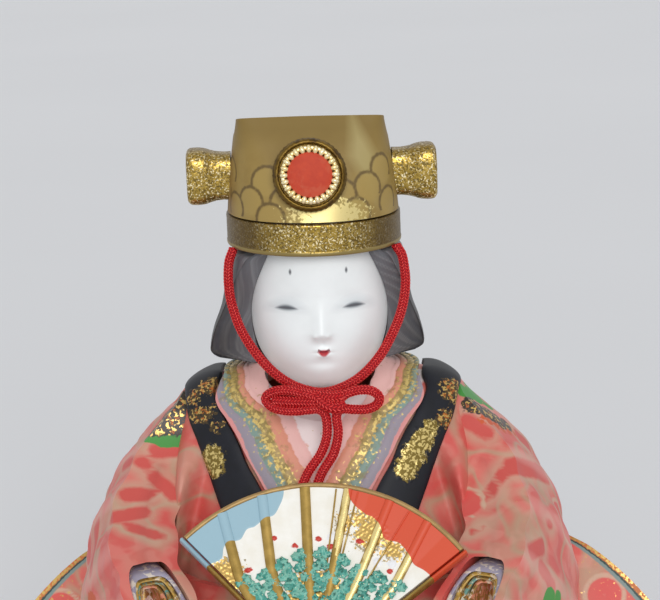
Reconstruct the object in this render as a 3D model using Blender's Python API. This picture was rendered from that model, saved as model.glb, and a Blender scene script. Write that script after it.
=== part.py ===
# Seated hina doll of painted clay: head that turns on a peg, tied crown, fan that lifts out.
# Metres, +Z up. The doll faces -Y and its own left hand is at +X. The neck axis is x = y = 0.
import bpy
import bmesh
from math import cos, sin, pi, radians, sqrt, exp
from mathutils import Vector

MM = 0.001
GAP = 0.35 * MM
SEAT_GAP = 0.6 * MM

# Robe body: torso and the under robes that it sits in
SHOULDER_HEIGHT = 90.8 * MM
TORSO_HALF_WIDTH = 26.8 * MM
CHEST_DEPTH = 18.0 * MM
BACK_DEPTH = 27.5 * MM
TORSO_WALL = 2.6 * MM
NECK_HOLE_HALF_WIDTH = 10.5 * MM
NECK_HOLE_FRONT = 8.6 * MM
NECK_HOLE_BACK = 10.0 * MM
NECK_LIP = 0.5 * MM
THROAT_DIP = 3.5 * MM
THROAT_START_SHARE = 0.88
LAP_HEIGHT = 57.0 * MM
SEAT_DEPTH = 15.0 * MM
TORSO_BOTTOM = LAP_HEIGHT - SEAT_DEPTH
HEM_HALF_WIDTH = 66.0 * MM
HEM_FRONT = 60.2 * MM
HEM_BACK = 54.0 * MM
UNDER_WALL = 3.0 * MM

# Outer robe skirt, train and front hems
SKIRT_HALF_WIDTH = 81.0 * MM
SKIRT_BACK = 60.0 * MM
SKIRT_DROP = 2.5 * MM
SKIRT_TOP = LAP_HEIGHT - SKIRT_DROP
SKIRT_GAP = 0.7 * MM
SKIRT_OPEN_TOP = radians(24)
SKIRT_OPEN_BOTTOM = radians(-9)
SKIRT_EDGE_EASE = radians(1)
TRAIN_DROP = 4.5 * MM
TRAIN_TOP = SKIRT_TOP - TRAIN_DROP
TRAIN_THICKNESS = 1.5 * MM
TRAIN_PLEAT = 0.5 * MM
TRAIN_PLEATS = 9
TRAIN_HALF_ANGLE_TOP = radians(34)
TRAIN_HALF_ANGLE_BOTTOM = radians(27)
FRONT_HEM_LAYERS = 3
FRONT_HEM_LAYER_HEIGHT = 1.7 * MM
FRONT_HEM_THICKNESS = 1.45 * MM
FRONT_HEM_STEP = 0.4 * MM
FRONT_HEM_HALF_ANGLE = radians(58)

# Sleeves and the robe layers in their mouths
SLEEVE_REACH_SIDE = 46.0 * MM
SLEEVE_REACH_FRONT = 45.0 * MM
SLEEVE_HALF_THICKNESS = 7.5 * MM
SLEEVE_WALL = 1.3 * MM
MOUTH_TOP = 64.0 * MM
MOUTH_BOTTOM = 22.0 * MM
MOUTH_DEPTH = 11.0 * MM
CUFF_LAYERS = 4
CUFF_LAYER_THICKNESS = 0.75 * MM
CUFF_LAYER_SETBACK = 0.9 * MM
CUFF_FLOOR = 1.5 * MM

# Collars and neckbands on the chest
COLLAR_LAYERS = 6
COLLAR_STEPS = 40
COLLAR_BASE_THICKNESS = 0.55 * MM
COLLAR_LAYER_STEP = 0.14 * MM
BAND_THICKNESS = 1.5 * MM
BAND_MARGIN_SHARE = 0.07
COLLAR_STEP_SHARE = 0.1

# Hands, neck parts, base pad and back hair
HAND_RADIUS = 3.0 * MM
WRIST_RADIUS = 2.1 * MM
PEG_RADIUS = 3.5 * MM
PEG_LENGTH = 18.0 * MM
PEG_CLEARANCE = 0.35 * MM
SOCKET_WALL = 3.2 * MM
SOCKET_FLANGE = 2.4 * MM
SOCKET_SEAT_WIDTH = 1.4 * MM
SOCKET_DROP = 9.2 * MM
SOCKET_TOP = SHOULDER_HEIGHT - SOCKET_DROP
SOCKET_DEPTH = 17.0 * MM
PAD_THICKNESS = 1.2 * MM
HAIR_TAIL_HALF_WIDTH = 11.0 * MM
HAIR_TAIL_THICKNESS = 3.0 * MM

# Head, hair and crown
HEAD_REST_TURN = radians(5)
NECK_DROP = 6.8 * MM
NECK_BOTTOM = SHOULDER_HEIGHT - NECK_DROP
HEAD_HEIGHT = 45.0 * MM
FACE_HALF_WIDTH = 12.7 * MM
FACE_DEPTH = 14.3 * MM
HEAD_BACK = 11.0 * MM
NOSE_HEIGHT = 1.5 * MM
NOSE_HALF_WIDTH = 1.7 * MM
NOSE_TIP_RISE = 17.0 * MM
NOSE_TIP_Z = NECK_BOTTOM + NOSE_TIP_RISE
NOSE_BRIDGE = 6.0 * MM
NOSE_UNDERSIDE = 2.2 * MM
HAIR_RISE = 10.0 * MM
HAIR_BOTTOM = NECK_BOTTOM + HAIR_RISE
HAIR_HEIGHT = 25.0 * MM
HAIR_HALF_WIDTH = 19.8 * MM
HAIR_ASIDE = 0.7 * MM
HAIR_DEPTH = 17.0 * MM
BAND_RISE = 31.4 * MM
BAND_BOTTOM = NECK_BOTTOM + BAND_RISE
BAND_HEIGHT = 5.7 * MM
BAND_HALF_WIDTH = 15.9 * MM
BAND_FRONT = 17.0 * MM
BAND_BACK = 16.4 * MM
BAND_WALL = 1.1 * MM
CAP_HEIGHT = 17.4 * MM
CAP_TOP_SLOPE_SHARE = 0.2
HEAD_IN_CAP_GAP = 0.5 * MM

# Boss, its toothed bezel and stone, and the bosses at the crown's sides
BOSS_RISE = 14.5 * MM
BOSS_HEIGHT = BAND_BOTTOM + BOSS_RISE
BOSS_RADIUS = 6.6 * MM
BOSS_FRONT = 17.6 * MM
BOSS_LENGTH = 6.0 * MM
BOSS_RECESS_RADIUS = 5.5 * MM
BOSS_RECESS_DEPTH = 1.5 * MM
BOSS_TILT = radians(10)
BEZEL_WALL = 0.85 * MM
BEZEL_HEIGHT = 1.9 * MM
BEZEL_TEETH = 22
BEZEL_TOOTH = 0.3 * MM
STONE_HEIGHT = 2.2 * MM
SIDE_BOSS_RISE = 12.3 * MM
SIDE_BOSS_Z = BAND_BOTTOM + SIDE_BOSS_RISE
SIDE_BOSS_HEIGHT = 10.2 * MM
SIDE_BOSS_DEPTH = 9.0 * MM
SIDE_BOSS_REACH = 22.6 * MM
SIDE_BOSS_NECK = 14.6 * MM

# Tied cord
CORD_DIAMETER = 1.8 * MM
KNOT_HALF_WIDTH = 1.9 * MM
KNOT_HALF_HEIGHT = 1.7 * MM
KNOT_HALF_DEPTH = 1.3 * MM

# Fan, drawn flat and then leant back on its pivot
FAN_SETBACK = 2.0 * MM
FAN_PIVOT_FRONT = SLEEVE_REACH_FRONT - FAN_SETBACK
FAN_OVER_HANDS = 4.6 * MM
FAN_TILT = radians(34)
FAN_RADIUS = 33.0 * MM
FAN_HALF_ANGLE = radians(48)
FAN_LEAN = radians(3.5)
FAN_LEAF_INNER = 10.5 * MM
FAN_LEAF_THICKNESS = 0.9 * MM
FAN_FOLDS = 7
FAN_FOLD_DEPTH = 0.2 * MM
FAN_RIM_WIDTH = 1.1 * MM
FAN_RIM_THICKNESS = 1.8 * MM
FAN_RIBS = 6
FAN_RIB_HALF_WIDTH = 0.8 * MM
FAN_RIB_THICKNESS = 0.8 * MM
FAN_HUB_RADIUS = 3.0 * MM
FAN_TANG_HALF_WIDTH = 1.2 * MM
FAN_TANG_LENGTH = 8.0 * MM
FAN_GUARD_HALF_WIDTH = 0.5 * MM
FAN_RIVET_RADIUS = 0.9 * MM
FAN_RIVET_HEAD = 1.5 * MM
FAN_RIVET_HEAD_HEIGHT = 0.5 * MM

# Outlines as shares of the sizes above: height, half width, front depth, back depth
TORSO_ROWS_SHARES = (
    (0.463, 1.23, 1.61, 0.98), (0.573, 1.14, 1.53, 1.0), (0.661, 1.063, 1.39, 1.0),
    (0.749, 1.019, 1.167, 0.964), (0.815, 1.0, 1.0, 0.909), (0.881, 0.993, 0.833, 0.818),
    (0.931, 0.97, 0.711, 0.727), (0.964, 0.905, 0.628, 0.655), (0.981, 0.82, 0.585, 0.6),
    (0.992, 0.69, 0.545, 0.53), (1.0, 0.5, 0.5, 0.46),
)
UNDER_ROWS_SHARES = (
    (0.0, 1.0, 1.0, 1.0), (0.07, 0.985, 0.992, 0.99), (0.14, 0.909, 0.926, 0.944),
    (0.228, 0.818, 0.818, 0.88), (0.316, 0.735, 0.702, 0.833), (0.421, 0.652, 0.595, 0.787),
    (0.561, 0.583, 0.529, 0.722), (0.737, 0.545, 0.502, 0.655), (0.877, 0.512, 0.487, 0.59),
    (1.0, 0.482, 0.465, 0.55),
)
UNDER_LEVELS_SHARES = (0.0, 0.05, 0.1, 0.16, 0.25, 0.36, 0.48, 0.6, 0.74, 0.86)
SKIRT_ROWS_SHARES = (
    (0.0, 1.0, 1.0), (0.14, 0.988, 0.982), (0.33, 0.95, 0.917), (0.51, 0.889, 0.833),
    (0.69, 0.81, 0.75), (0.83, 0.74, 0.68), (0.94, 0.665, 0.6), (1.0, 0.6, 0.54),
)
# Sleeve outline in plan: height, then back end, elbow and front end, then half thickness at both ends
SLEEVE_ROWS_SHARES = (
    (0.187, 0.72, 0.11, 0.967, -0.267, 0.49, -0.978, 0.6, 0.73),
    (0.242, 0.74, 0.18, 1.01, -0.244, 0.478, -1.0, 0.85, 0.93),
    (0.33, 0.76, 0.22, 1.043, -0.222, 0.478, -0.989, 0.96, 1.0),
    (0.441, 0.78, 0.267, 1.043, -0.2, 0.489, -0.956, 1.0, 1.0),
    (0.551, 0.78, 0.289, 1.022, -0.178, 0.511, -0.922, 1.0, 0.96),
    (0.639, 0.76, 0.289, 0.967, -0.156, 0.565, -0.844, 0.973, 0.867),
    (0.705, 0.75, 0.289, 0.891, -0.111, 0.652, -0.667, 0.947, 0.827),
    (0.76, 0.717, 0.289, 0.804, -0.022, 0.685, -0.444, 0.907, 0.853),
    (0.826, 0.652, 0.267, 0.717, 0.044, 0.652, -0.244, 0.827, 0.827),
    (0.881, 0.565, 0.222, 0.63, 0.067, 0.587, -0.133, 0.747, 0.747),
    (0.936, 0.489, 0.156, 0.522, 0.067, 0.5, -0.067, 0.6, 0.6),
    (0.976, 0.478, 0.089, 0.489, 0.044, 0.489, 0.0, 0.35, 0.35),
)
# Head outline: height above the neck's foot, half width, front depth, back depth
HEAD_ROWS_SHARES = (
    (0.0, 0.457, 0.364, 0.56), (0.08, 0.465, 0.385, 0.58), (0.122, 0.51, 0.55, 0.6),
    (0.14, 0.55, 0.76, 0.63), (0.162, 0.62, 0.86, 0.66), (0.2, 0.74, 0.91, 0.72),
    (0.267, 0.89, 0.965, 0.83), (0.355, 0.975, 0.99, 0.92), (0.444, 1.0, 0.98, 0.98),
    (0.533, 0.975, 0.98, 1.0), (0.622, 0.925, 0.99, 1.0), (0.711, 0.86, 0.97, 1.0),
    (0.8, 0.78, 0.86, 0.95), (0.9, 0.6, 0.6, 0.75), (0.97, 0.36, 0.36, 0.45), (1.0, 0.1, 0.1, 0.12),
)
# Hair outline: height above its lower edge, half width, front and back depth, angle of the front edge
HAIR_ROWS_SHARES = (
    (0.0, 0.93, 0.7, 0.93, 0.02), (0.04, 0.985, 0.71, 0.97, 0.024), (0.09, 1.0, 0.72, 1.0, 0.03),
    (0.24, 0.96, 0.74, 1.0, 0.055),
    (0.4, 0.89, 0.78, 0.98, 0.08), (0.56, 0.85, 0.82, 0.95, 0.125), (0.72, 0.82, 0.86, 0.92, 0.18),
    (0.81, 0.785, 0.88, 0.9, 0.21), (0.845, 0.7, 0.885, 0.86, 0.22), (1.0, 0.695, 0.87, 0.85, 0.24),
)
# Crown outline: height above the band, half width, front and back depth of the band, squareness
CAP_ROWS_SHARES = (
    (0.0, 0.98, 0.97, 0.95, 2.2), (0.25, 0.955, 0.915, 0.88, 2.5), (0.5, 0.92, 0.82, 0.77, 3.0),
    (0.75, 0.88, 0.68, 0.65, 4.0), (0.94, 0.845, 0.53, 0.54, 6.0), (1.0, 0.835, 0.48, 0.5, 8.0),
)
# Neckband edges from the waist up over the shoulder: angle from the front, height from lap to shoulders
BAND_INNER_SHARES = (
    (9.5, 0.1672), (16, 0.3284), (23, 0.4896), (28, 0.589), (32, 0.6911), (37, 0.7931), (47, 0.8979),
    (63, 0.9597), (82, 0.9785), (112, 0.9731),
)
BAND_OUTER_SHARES = (
    (28, 0.0732), (33, 0.2209), (38.6, 0.3606), (43.2, 0.4708), (47.6, 0.5756), (51.5, 0.6561),
    (58, 0.7555), (68, 0.8522), (83, 0.8925), (114, 0.8791),
)
# Collar edges: angle round from the front, height of the white throat's edge, of the V and of the outer edge
COLLAR_EDGES_SHARES = (
    (0, 0.8522, 0.64, 0.0866), (5, 0.8657, 0.6964, 0.135), (9, 0.8818, 0.7663, 0.2344),
    (12, 0.8979, 0.8173, 0.315), (16, 0.9194, 0.8711, 0.4144), (22, 0.9463, 0.9113, 0.5487),
    (28, 0.9624, 0.9355, 0.6723), (34, 0.9731, 0.9543, 0.8039), (40, 0.9812, 0.9651, 0.8818),
    (49.5, 0.9893, 0.9758, 0.9382), (63, 0.9973, 0.9866, 0.9704), (75, 1, 0.9946, 0.9812),
    (92, 1, 0.9946, 0.9825),
)
# Hand route from the wrist to the fan's tang: side, front, height; then how full the hand is there
HAND_ROUTE_SHARES = (
    (0.677, -0.662, 0.462), (0.594, -0.811, 0.463), (0.505, -0.935, 0.464), (0.37, -1.0, 0.468),
    (0.2, -1.018, 0.476), (0.09, -1.013, 0.484), (0.03, -1.01, 0.487),
)
HAND_WIDTH_SHARES = (0.0, 0.0, 0.15, 0.8, 1.0, 0.6, -0.5)
HAND_FLATNESS_SHARE = 0.8
PEG_ROWS_SHARES = ((1.0, 0.0), (1.0, 0.93), (0.75, 1.0))
# Back hair: height up to the lap and then from lap to shoulders, depth, half width, radius of the bend across
BACK_HAIR_ROWS_SHARES = (
    (0.456, 0.905, 0.35, 1.0), (0.632, 0.82, 0.5, 0.9), (0.772, 0.755, 0.6, 0.8), (0.877, 0.685, 0.7, 0.7),
    (0.965, 0.59, 0.76, 0.6), (1.089, 0.51, 0.82, 0.5), (1.325, 0.466, 0.9, 0.45), (1.562, 0.432, 1.0, 0.46),
    (1.799, 0.358, 1.05, 0.5), (1.947, 0.3, 1.05, 0.5),
)
HEAD_LEVELS_SHARES = (
    0.0, 0.08, 0.122, 0.14, 0.162, 0.2, 0.25, 0.3, 0.335, 0.36, 0.378, 0.4, 0.444, 0.49,
    0.533, 0.6, 0.67, 0.711, 0.75, 0.8, 0.86, 0.92, 0.97, 1.0,
)
HAIR_LEVELS_SHARES = (0.0, 0.03, 0.08, 0.2, 0.35, 0.5, 0.65, 0.78, 0.825, 0.85, 1.0)
CAP_LEVELS_SHARES = (0.0, 0.12, 0.25, 0.38, 0.5, 0.63, 0.75, 0.85, 0.94, 1.0)
BOSS_ROWS_SHARES = ((1.0, 0.0), (1.0, 0.82), (0.985, 0.91), (0.94, 0.975), (0.88, 1.0))
STONE_ROWS_SHARES = ((1.0, 0.0), (1.0, 0.35), (0.93, 0.65), (0.74, 0.87), (0.45, 0.97), (0.15, 1.0))
SIDE_BOSS_ROWS_SHARES = ((0.0, 0.88), (0.3, 0.9), (0.6, 0.97), (0.88, 1.0), (0.96, 0.95), (1.0, 0.82))

# Cord routes, chosen by hand: half widths of the face, depths of the face, heights above the neck's foot
CHIN_ROUTE_SHARES = (
    (-1.165, -0.53, 0.687), (-1.213, -0.575, 0.649), (-1.228, -0.62, 0.587), (-1.213, -0.657, 0.52),
    (-1.165, -0.706, 0.462), (-1.071, -0.783, 0.391), (-0.929, -0.888, 0.329), (-0.756, -0.979, 0.269),
    (-0.551, -1.042, 0.216), (-0.331, -1.077, 0.176), (-0.094, -1.091, 0.151), (0.126, -1.091, 0.144),
    (0.346, -1.084, 0.16), (0.567, -1.042, 0.189), (0.756, -0.965, 0.229), (0.929, -0.867, 0.282),
    (1.063, -0.769, 0.342), (1.181, -0.664, 0.411), (1.252, -0.594, 0.48), (1.283, -0.538, 0.551),
    (1.268, -0.497, 0.613), (1.236, -0.469, 0.658), (1.173, -0.448, 0.687),
)
KNOT_CENTRE_SHARES = (0.197, -1.287, 0.12)
RIGHT_LOOP_SHARES = (
    (0, -1.308, 0.142), (-0.189, -1.315, 0.162), (-0.378, -1.301, 0.173), (-0.543, -1.273, 0.169),
    (-0.669, -1.245, 0.151), (-0.701, -1.231, 0.129), (-0.614, -1.252, 0.102), (-0.465, -1.287, 0.091),
    (-0.276, -1.315, 0.089), (-0.11, -1.322, 0.093), (0, -1.322, 0.096),
)
LEFT_LOOP_SHARES = (
    (0.378, -1.301, 0.142), (0.472, -1.301, 0.158), (0.63, -1.287, 0.167), (0.787, -1.259, 0.16),
    (0.89, -1.231, 0.133), (0.858, -1.231, 0.102), (0.724, -1.266, 0.087), (0.543, -1.301, 0.089),
    (0.441, -1.315, 0.096), (0.378, -1.322, 0.098),
)
LEFT_TAIL_SHARES = (
    (0.252, -1.343, 0.067), (0.346, -1.378, -0.002), (0.346, -1.406, -0.08), (0.236, -1.462, -0.147),
    (0.094, -1.538, -0.213), (0.047, -1.706, -0.302), (0.071, -1.888, -0.413), (0.087, -1.986, -0.524),
)
RIGHT_TAIL_SHARES = (
    (0.11, -1.343, 0.067), (0.15, -1.378, -0.009), (0.126, -1.406, -0.08), (0, -1.476, -0.156),
    (-0.157, -1.587, -0.231), (-0.22, -1.755, -0.324), (-0.205, -1.909, -0.427), (-0.157, -2, -0.533),
)

RING_POINTS = 32
CUTTERS = []


def clear_scene():
    for obj in list(bpy.data.objects):
        bpy.data.objects.remove(obj, do_unlink=True)


def paint(name, colour, roughness, metallic=0.0):
    material = bpy.data.materials.new(name)
    material.use_nodes = True
    shader = material.node_tree.nodes["Principled BSDF"]
    shader.inputs["Base Color"].default_value = (*colour, 1.0)
    shader.inputs["Roughness"].default_value = roughness
    shader.inputs["Metallic"].default_value = metallic
    return material


def finish(name, mesh, material, parent=None, smooth_angle=radians(40)):
    """Makes the mesh an object with outward normals and soft shading."""
    mesh_data = bpy.data.meshes.new(name)
    bmesh.ops.recalc_face_normals(mesh, faces=mesh.faces)
    mesh.to_mesh(mesh_data)
    mesh.free()
    mesh_data.shade_smooth()
    mesh_data.set_sharp_from_angle(angle=smooth_angle)
    obj = bpy.data.objects.new(name, mesh_data)
    bpy.context.scene.collection.objects.link(obj)
    obj.data.materials.append(material)
    obj.parent = parent
    return obj


def row_at(rows, key):
    """The values of a table's rows at one key, on a smooth curve through the rows."""
    low = 0
    while low < len(rows) - 2 and key > rows[low + 1][0]:
        low += 1
    before = rows[max(low - 1, 0)]
    first, second = rows[low], rows[low + 1]
    after = rows[min(low + 2, len(rows) - 1)]
    span = second[0] - first[0]
    t = min(max((key - first[0]) / span, 0.0), 1.0)
    values = []
    for i in range(1, len(first)):
        start_slope = (second[i] - before[i]) / (second[0] - before[0]) * span
        end_slope = (after[i] - first[i]) / (after[0] - first[0]) * span
        values.append(
            (2 * t**3 - 3 * t**2 + 1) * first[i] + (t**3 - 2 * t**2 + t) * start_slope
            + (3 * t**2 - 2 * t**3) * second[i] + (t**3 - t**2) * end_slope
        )
    return values


def outline(angle, half_width, front, back, squareness=2.0):
    """A point of a rounded outline, with the angle counted from +X towards +Y."""
    c, s = cos(angle), sin(angle)
    reach = (abs(c) ** squareness + abs(s) ** squareness) ** (-1 / squareness)
    return half_width * c * reach, (back if s > 0 else front) * s * reach


def ring_angles(count=RING_POINTS):
    return [2 * pi * i / count for i in range(count)]


def loft(rings, closed=False):
    """Joins rings of points; the two ends meet each other, or each gets a cap with a middle point."""
    mesh = bmesh.new()
    made = [[mesh.verts.new(point) for point in ring] for ring in rings]
    count = len(made[0])
    pairs = list(zip(made, made[1:])) + ([(made[-1], made[0])] if closed else [])
    for lower, upper in pairs:
        for i in range(count):
            j = (i + 1) % count
            mesh.faces.new((lower[i], lower[j], upper[j], upper[i]))
    if not closed:
        for ring in (made[0], made[-1]):
            middle = mesh.verts.new(sum((v.co for v in ring), Vector()) / count)
            for i in range(count):
                mesh.faces.new((ring[i], ring[(i + 1) % count], middle))
    return mesh


def sheet(outer, inner, around=False):
    """A closed solid between two grids of points, such as the two faces of a cloth layer."""
    mesh = bmesh.new()
    rows, columns = len(outer), len(outer[0])
    tops = [[mesh.verts.new(point) for point in row] for row in outer]
    bottoms = [[mesh.verts.new(point) for point in row] for row in inner]
    last = rows if around else rows - 1
    for i in range(last):
        k = (i + 1) % rows
        for j in range(columns - 1):
            mesh.faces.new((tops[i][j], tops[i][j + 1], tops[k][j + 1], tops[k][j]))
            mesh.faces.new((bottoms[i][j], bottoms[k][j], bottoms[k][j + 1], bottoms[i][j + 1]))
        for j in (0, columns - 1):
            mesh.faces.new((tops[i][j], tops[k][j], bottoms[k][j], bottoms[i][j]))
    if not around:
        for i in (0, rows - 1):
            for j in range(columns - 1):
                mesh.faces.new((tops[i][j], tops[i][j + 1], bottoms[i][j + 1], bottoms[i][j]))
    return mesh


def cutter(name, mesh, parent=None):
    obj = finish(name, mesh, CUTTER_MATERIAL, parent)
    obj.hide_render = True
    obj.display_type = "WIRE"
    CUTTERS.append(obj)
    return obj


def cut(obj, *tools):
    for tool in tools:
        modifier = obj.modifiers.new("cut_" + tool.name, "BOOLEAN")
        modifier.operation = "DIFFERENCE"
        modifier.solver = "EXACT"
        modifier.use_self = True
        modifier.object = tool


def empty(name, place, turn=(0.0, 0.0, 0.0)):
    obj = bpy.data.objects.new(name, None)
    bpy.context.scene.collection.objects.link(obj)
    obj.location = place
    obj.rotation_euler = turn
    return obj


def spread(low, high, count):
    return [low + (high - low) * i / (count - 1) for i in range(count)]


# Torso, under robes, skirt and train


def throat_fall(angle, height):
    """How far the torso's top dips at the front, to clear the chin."""
    near_top = max(0.0, (height / SHOULDER_HEIGHT - THROAT_START_SHARE) / (1 - THROAT_START_SHARE))
    return THROAT_DIP * max(0.0, -sin(angle)) ** 2 * near_top


def torso_point(angle, height, grow=0.0):
    wide, front, back = row_at(TORSO_ROWS_SHARES, height / SHOULDER_HEIGHT)
    x, y = outline(
        angle, wide * TORSO_HALF_WIDTH + grow, front * CHEST_DEPTH + grow, back * BACK_DEPTH + grow, 2.15
    )
    return Vector((x, y, height - throat_fall(angle, height)))


def under_point(angle, height, grow=0.0):
    wide, front, back = row_at(UNDER_ROWS_SHARES, height / LAP_HEIGHT)
    x, y = outline(angle, wide * HEM_HALF_WIDTH + grow, front * HEM_FRONT + grow, back * HEM_BACK + grow, 2.1)
    return Vector((x, y, height))


def skirt_point(angle, height, grow=0.0):
    wide, back = row_at(SKIRT_ROWS_SHARES, height / SKIRT_TOP)
    x, y = outline(angle, wide * SKIRT_HALF_WIDTH + grow, back * SKIRT_BACK + grow, back * SKIRT_BACK + grow)
    return Vector((x, y, height))


def neck_hole_ring(height):
    ring = []
    for a in ring_angles():
        x, y = outline(a, NECK_HOLE_HALF_WIDTH, NECK_HOLE_FRONT, NECK_HOLE_BACK)
        ring.append(Vector((x, y, height - throat_fall(a, SHOULDER_HEIGHT))))
    return ring


def seat_heights():
    """Levels of the torso's foot, where it stands in the under robes."""
    return spread(TORSO_BOTTOM, LAP_HEIGHT, 4)


def torso_heights():
    above = [1 - (1 - t) ** 1.6 for t in spread(0.0, 1.0, 9)]
    return seat_heights() + [LAP_HEIGHT + (SHOULDER_HEIGHT - LAP_HEIGHT) * t for t in above[1:]]


def under_heights():
    """Levels of the under robes, closer where the hems spread."""
    heights = [LAP_HEIGHT * share for share in UNDER_LEVELS_SHARES]
    return [z for z in heights if z < SKIRT_TOP] + [SKIRT_TOP, LAP_HEIGHT]


def make_torso(material):
    heights = torso_heights()
    rings = [[torso_point(a, z) for a in ring_angles()] for z in heights]
    rings.append(neck_hole_ring(SHOULDER_HEIGHT - NECK_LIP))
    rings.append(neck_hole_ring(SHOULDER_HEIGHT - TORSO_WALL))
    inner_top = SHOULDER_HEIGHT - 2 * TORSO_WALL
    for z in spread(inner_top, TORSO_BOTTOM, 5):
        rings.append([torso_point(a, z, -TORSO_WALL) for a in ring_angles()])
    return finish("robe_torso", loft(rings, closed=True), material)


def make_torso_cutter():
    heights = [TORSO_BOTTOM - UNDER_WALL, *torso_heights()]
    rings = [[torso_point(a, z, GAP) for a in ring_angles()] for z in heights]
    rings.append([torso_point(a, SHOULDER_HEIGHT, GAP) + Vector((0, 0, GAP)) for a in ring_angles()])
    return cutter("torso_room", loft(rings))


def make_under_robes(material):
    angles = ring_angles()
    rings = [[under_point(a, z) for a in angles] for z in under_heights()]
    rings += [[torso_point(a, z, SEAT_GAP) for a in angles] for z in seat_heights()[::-1]]
    seat = TORSO_BOTTOM - GAP
    rings.append([torso_point(a, TORSO_BOTTOM, SEAT_GAP) - Vector((0, 0, GAP)) for a in angles])
    for z in (seat, seat * 0.7, seat * 0.4, seat * 0.2, PAD_THICKNESS, 0.0):
        rings.append([under_point(a, z, -UNDER_WALL) for a in angles])
    return finish("under_robes", loft(rings, closed=True), material)


def make_under_cutter():
    angles = ring_angles()
    heights = under_heights()
    rings = [[under_point(a, 0.0, GAP) - Vector((0, 0, UNDER_WALL)) for a in angles]]
    rings += [[under_point(a, z, GAP) for a in angles] for z in heights]
    rings.append([under_point(a, LAP_HEIGHT, GAP) + Vector((0, 0, GAP)) for a in angles])
    return cutter("under_room", loft(rings))


def skirt_grids(grow=0.0, inner_grow=SKIRT_GAP, ease=0.0):
    """Outer and inner faces of the spread skirt, which leaves the front open."""
    outer, inner = [], []
    heights = under_heights()[:-1]
    for u in spread(0.0, 1.0, 27):
        outer_row, inner_row = [], []
        for z in heights:
            start = SKIRT_OPEN_BOTTOM + (SKIRT_OPEN_TOP - SKIRT_OPEN_BOTTOM) * z / SKIRT_TOP - ease
            angle = start + (pi - 2 * start) * u
            outer_row.append(skirt_point(angle, z, grow))
            inner_row.append(under_point(angle, z, inner_grow))
        outer.append(outer_row)
        inner.append(inner_row)
    return outer, inner


def make_skirt(material):
    return finish("outer_skirt", sheet(*skirt_grids()), material)


def make_skirt_cutter():
    outer, inner = skirt_grids(GAP, -UNDER_WALL, SKIRT_EDGE_EASE)
    for row in outer + inner:
        row[-1].z += GAP
    return cutter("skirt_room", sheet(outer, inner))


def make_train(material):
    outer, inner = [], []
    for u in spread(-1.0, 1.0, 2 * TRAIN_PLEATS + 1):
        outer_row, inner_row = [], []
        pleat = TRAIN_PLEAT * (0.5 + 0.5 * cos(pi * TRAIN_PLEATS * (u + 1)))
        for v in spread(0.0, 1.0, 8):
            half = TRAIN_HALF_ANGLE_BOTTOM + (TRAIN_HALF_ANGLE_TOP - TRAIN_HALF_ANGLE_BOTTOM) * v
            angle = pi / 2 - half * u
            outer_row.append(skirt_point(angle, TRAIN_TOP * v, GAP + TRAIN_THICKNESS - pleat))
            inner_row.append(skirt_point(angle, TRAIN_TOP * v, GAP))
        outer.append(outer_row)
        inner.append(inner_row)
    return finish("back_train", sheet(outer, inner), material)


def make_front_hems(material):
    """Hems of the robes beneath, fanned at the front, each set back from the one below it."""
    outer, inner = [], []
    top = FRONT_HEM_LAYERS * FRONT_HEM_LAYER_HEIGHT
    for u in spread(-1.0, 1.0, 21):
        angle = -pi / 2 + FRONT_HEM_HALF_ANGLE * u
        outer_row = []
        for layer in range(FRONT_HEM_LAYERS):
            grow = GAP + FRONT_HEM_THICKNESS - FRONT_HEM_STEP * layer
            for z in (FRONT_HEM_LAYER_HEIGHT * layer, FRONT_HEM_LAYER_HEIGHT * (layer + 1)):
                outer_row.append(under_point(angle, z, grow))
        inner_row = [under_point(angle, z, 2 * GAP) for z in spread(0.0, top, len(outer_row))]
        outer.append(outer_row)
        inner.append(inner_row)
    return finish("front_hems", sheet(outer, inner), material)


def make_base_pad(material):
    rings = [
        [under_point(a, z, -UNDER_WALL - GAP) for a in ring_angles()]
        for z in (0.0, PAD_THICKNESS)
    ]
    return finish("base_pad", loft(rings), material)


# Sleeves


def sleeve_line(height, side):
    """Back end, elbow, front end and the half thicknesses of the sleeve's outline at one height."""
    bx, by, ex, ey, fx, fy, back, front = row_at(SLEEVE_ROWS_SHARES, height / SHOULDER_HEIGHT)
    points = [
        Vector((side * x * SLEEVE_REACH_SIDE, y * SLEEVE_REACH_FRONT, height))
        for x, y in ((bx, by), (ex, ey), (fx, fy))
    ]
    return points, back * SLEEVE_HALF_THICKNESS, front * SLEEVE_HALF_THICKNESS


def along_sleeve(points, s):
    """Place and direction on the sleeve's middle line; it runs on straight past the mouth."""
    b, e, f = points
    t = min(s, 1.0)
    place = b * (1 - t) ** 2 + e * (2 * t * (1 - t)) + f * t**2
    heading = ((e - b) * (1 - t) + (f - e) * t).normalized()
    return place + heading * max(s - 1.0, 0.0) * SLEEVE_REACH_FRONT, heading


def sleeve_ring(height, side, grow=0.0, start=0.0, end=1.0, count=9):
    points, back, front = sleeve_line(height, side)
    near, far = [], []
    for s in spread(start, end, count):
        place, heading = along_sleeve(points, s)
        across = Vector((-heading.y, heading.x, 0.0))
        half = back + (front - back) * min(s, 1.0) + grow
        near.append(place + across * half)
        far.append(place - across * half)
    place, heading = along_sleeve(points, start)
    across = Vector((-heading.y, heading.x, 0.0))
    half = back + (front - back) * start + grow
    bow = [place + (across * -cos(a) - heading * sin(a)) * half for a in spread(0.0, pi, 6)[1:-1]]
    return far[::-1] + bow + near


def make_sleeve(name, side, material, rooms, pocket):
    low = SLEEVE_ROWS_SHARES[0][0] * SHOULDER_HEIGHT
    high = SLEEVE_ROWS_SHARES[-1][0] * SHOULDER_HEIGHT
    rings = [sleeve_ring(z, side) for z in spread(low, high, 14)]
    obj = finish(name, loft(rings), material)
    cut(obj, *rooms, pocket)
    return obj


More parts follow.
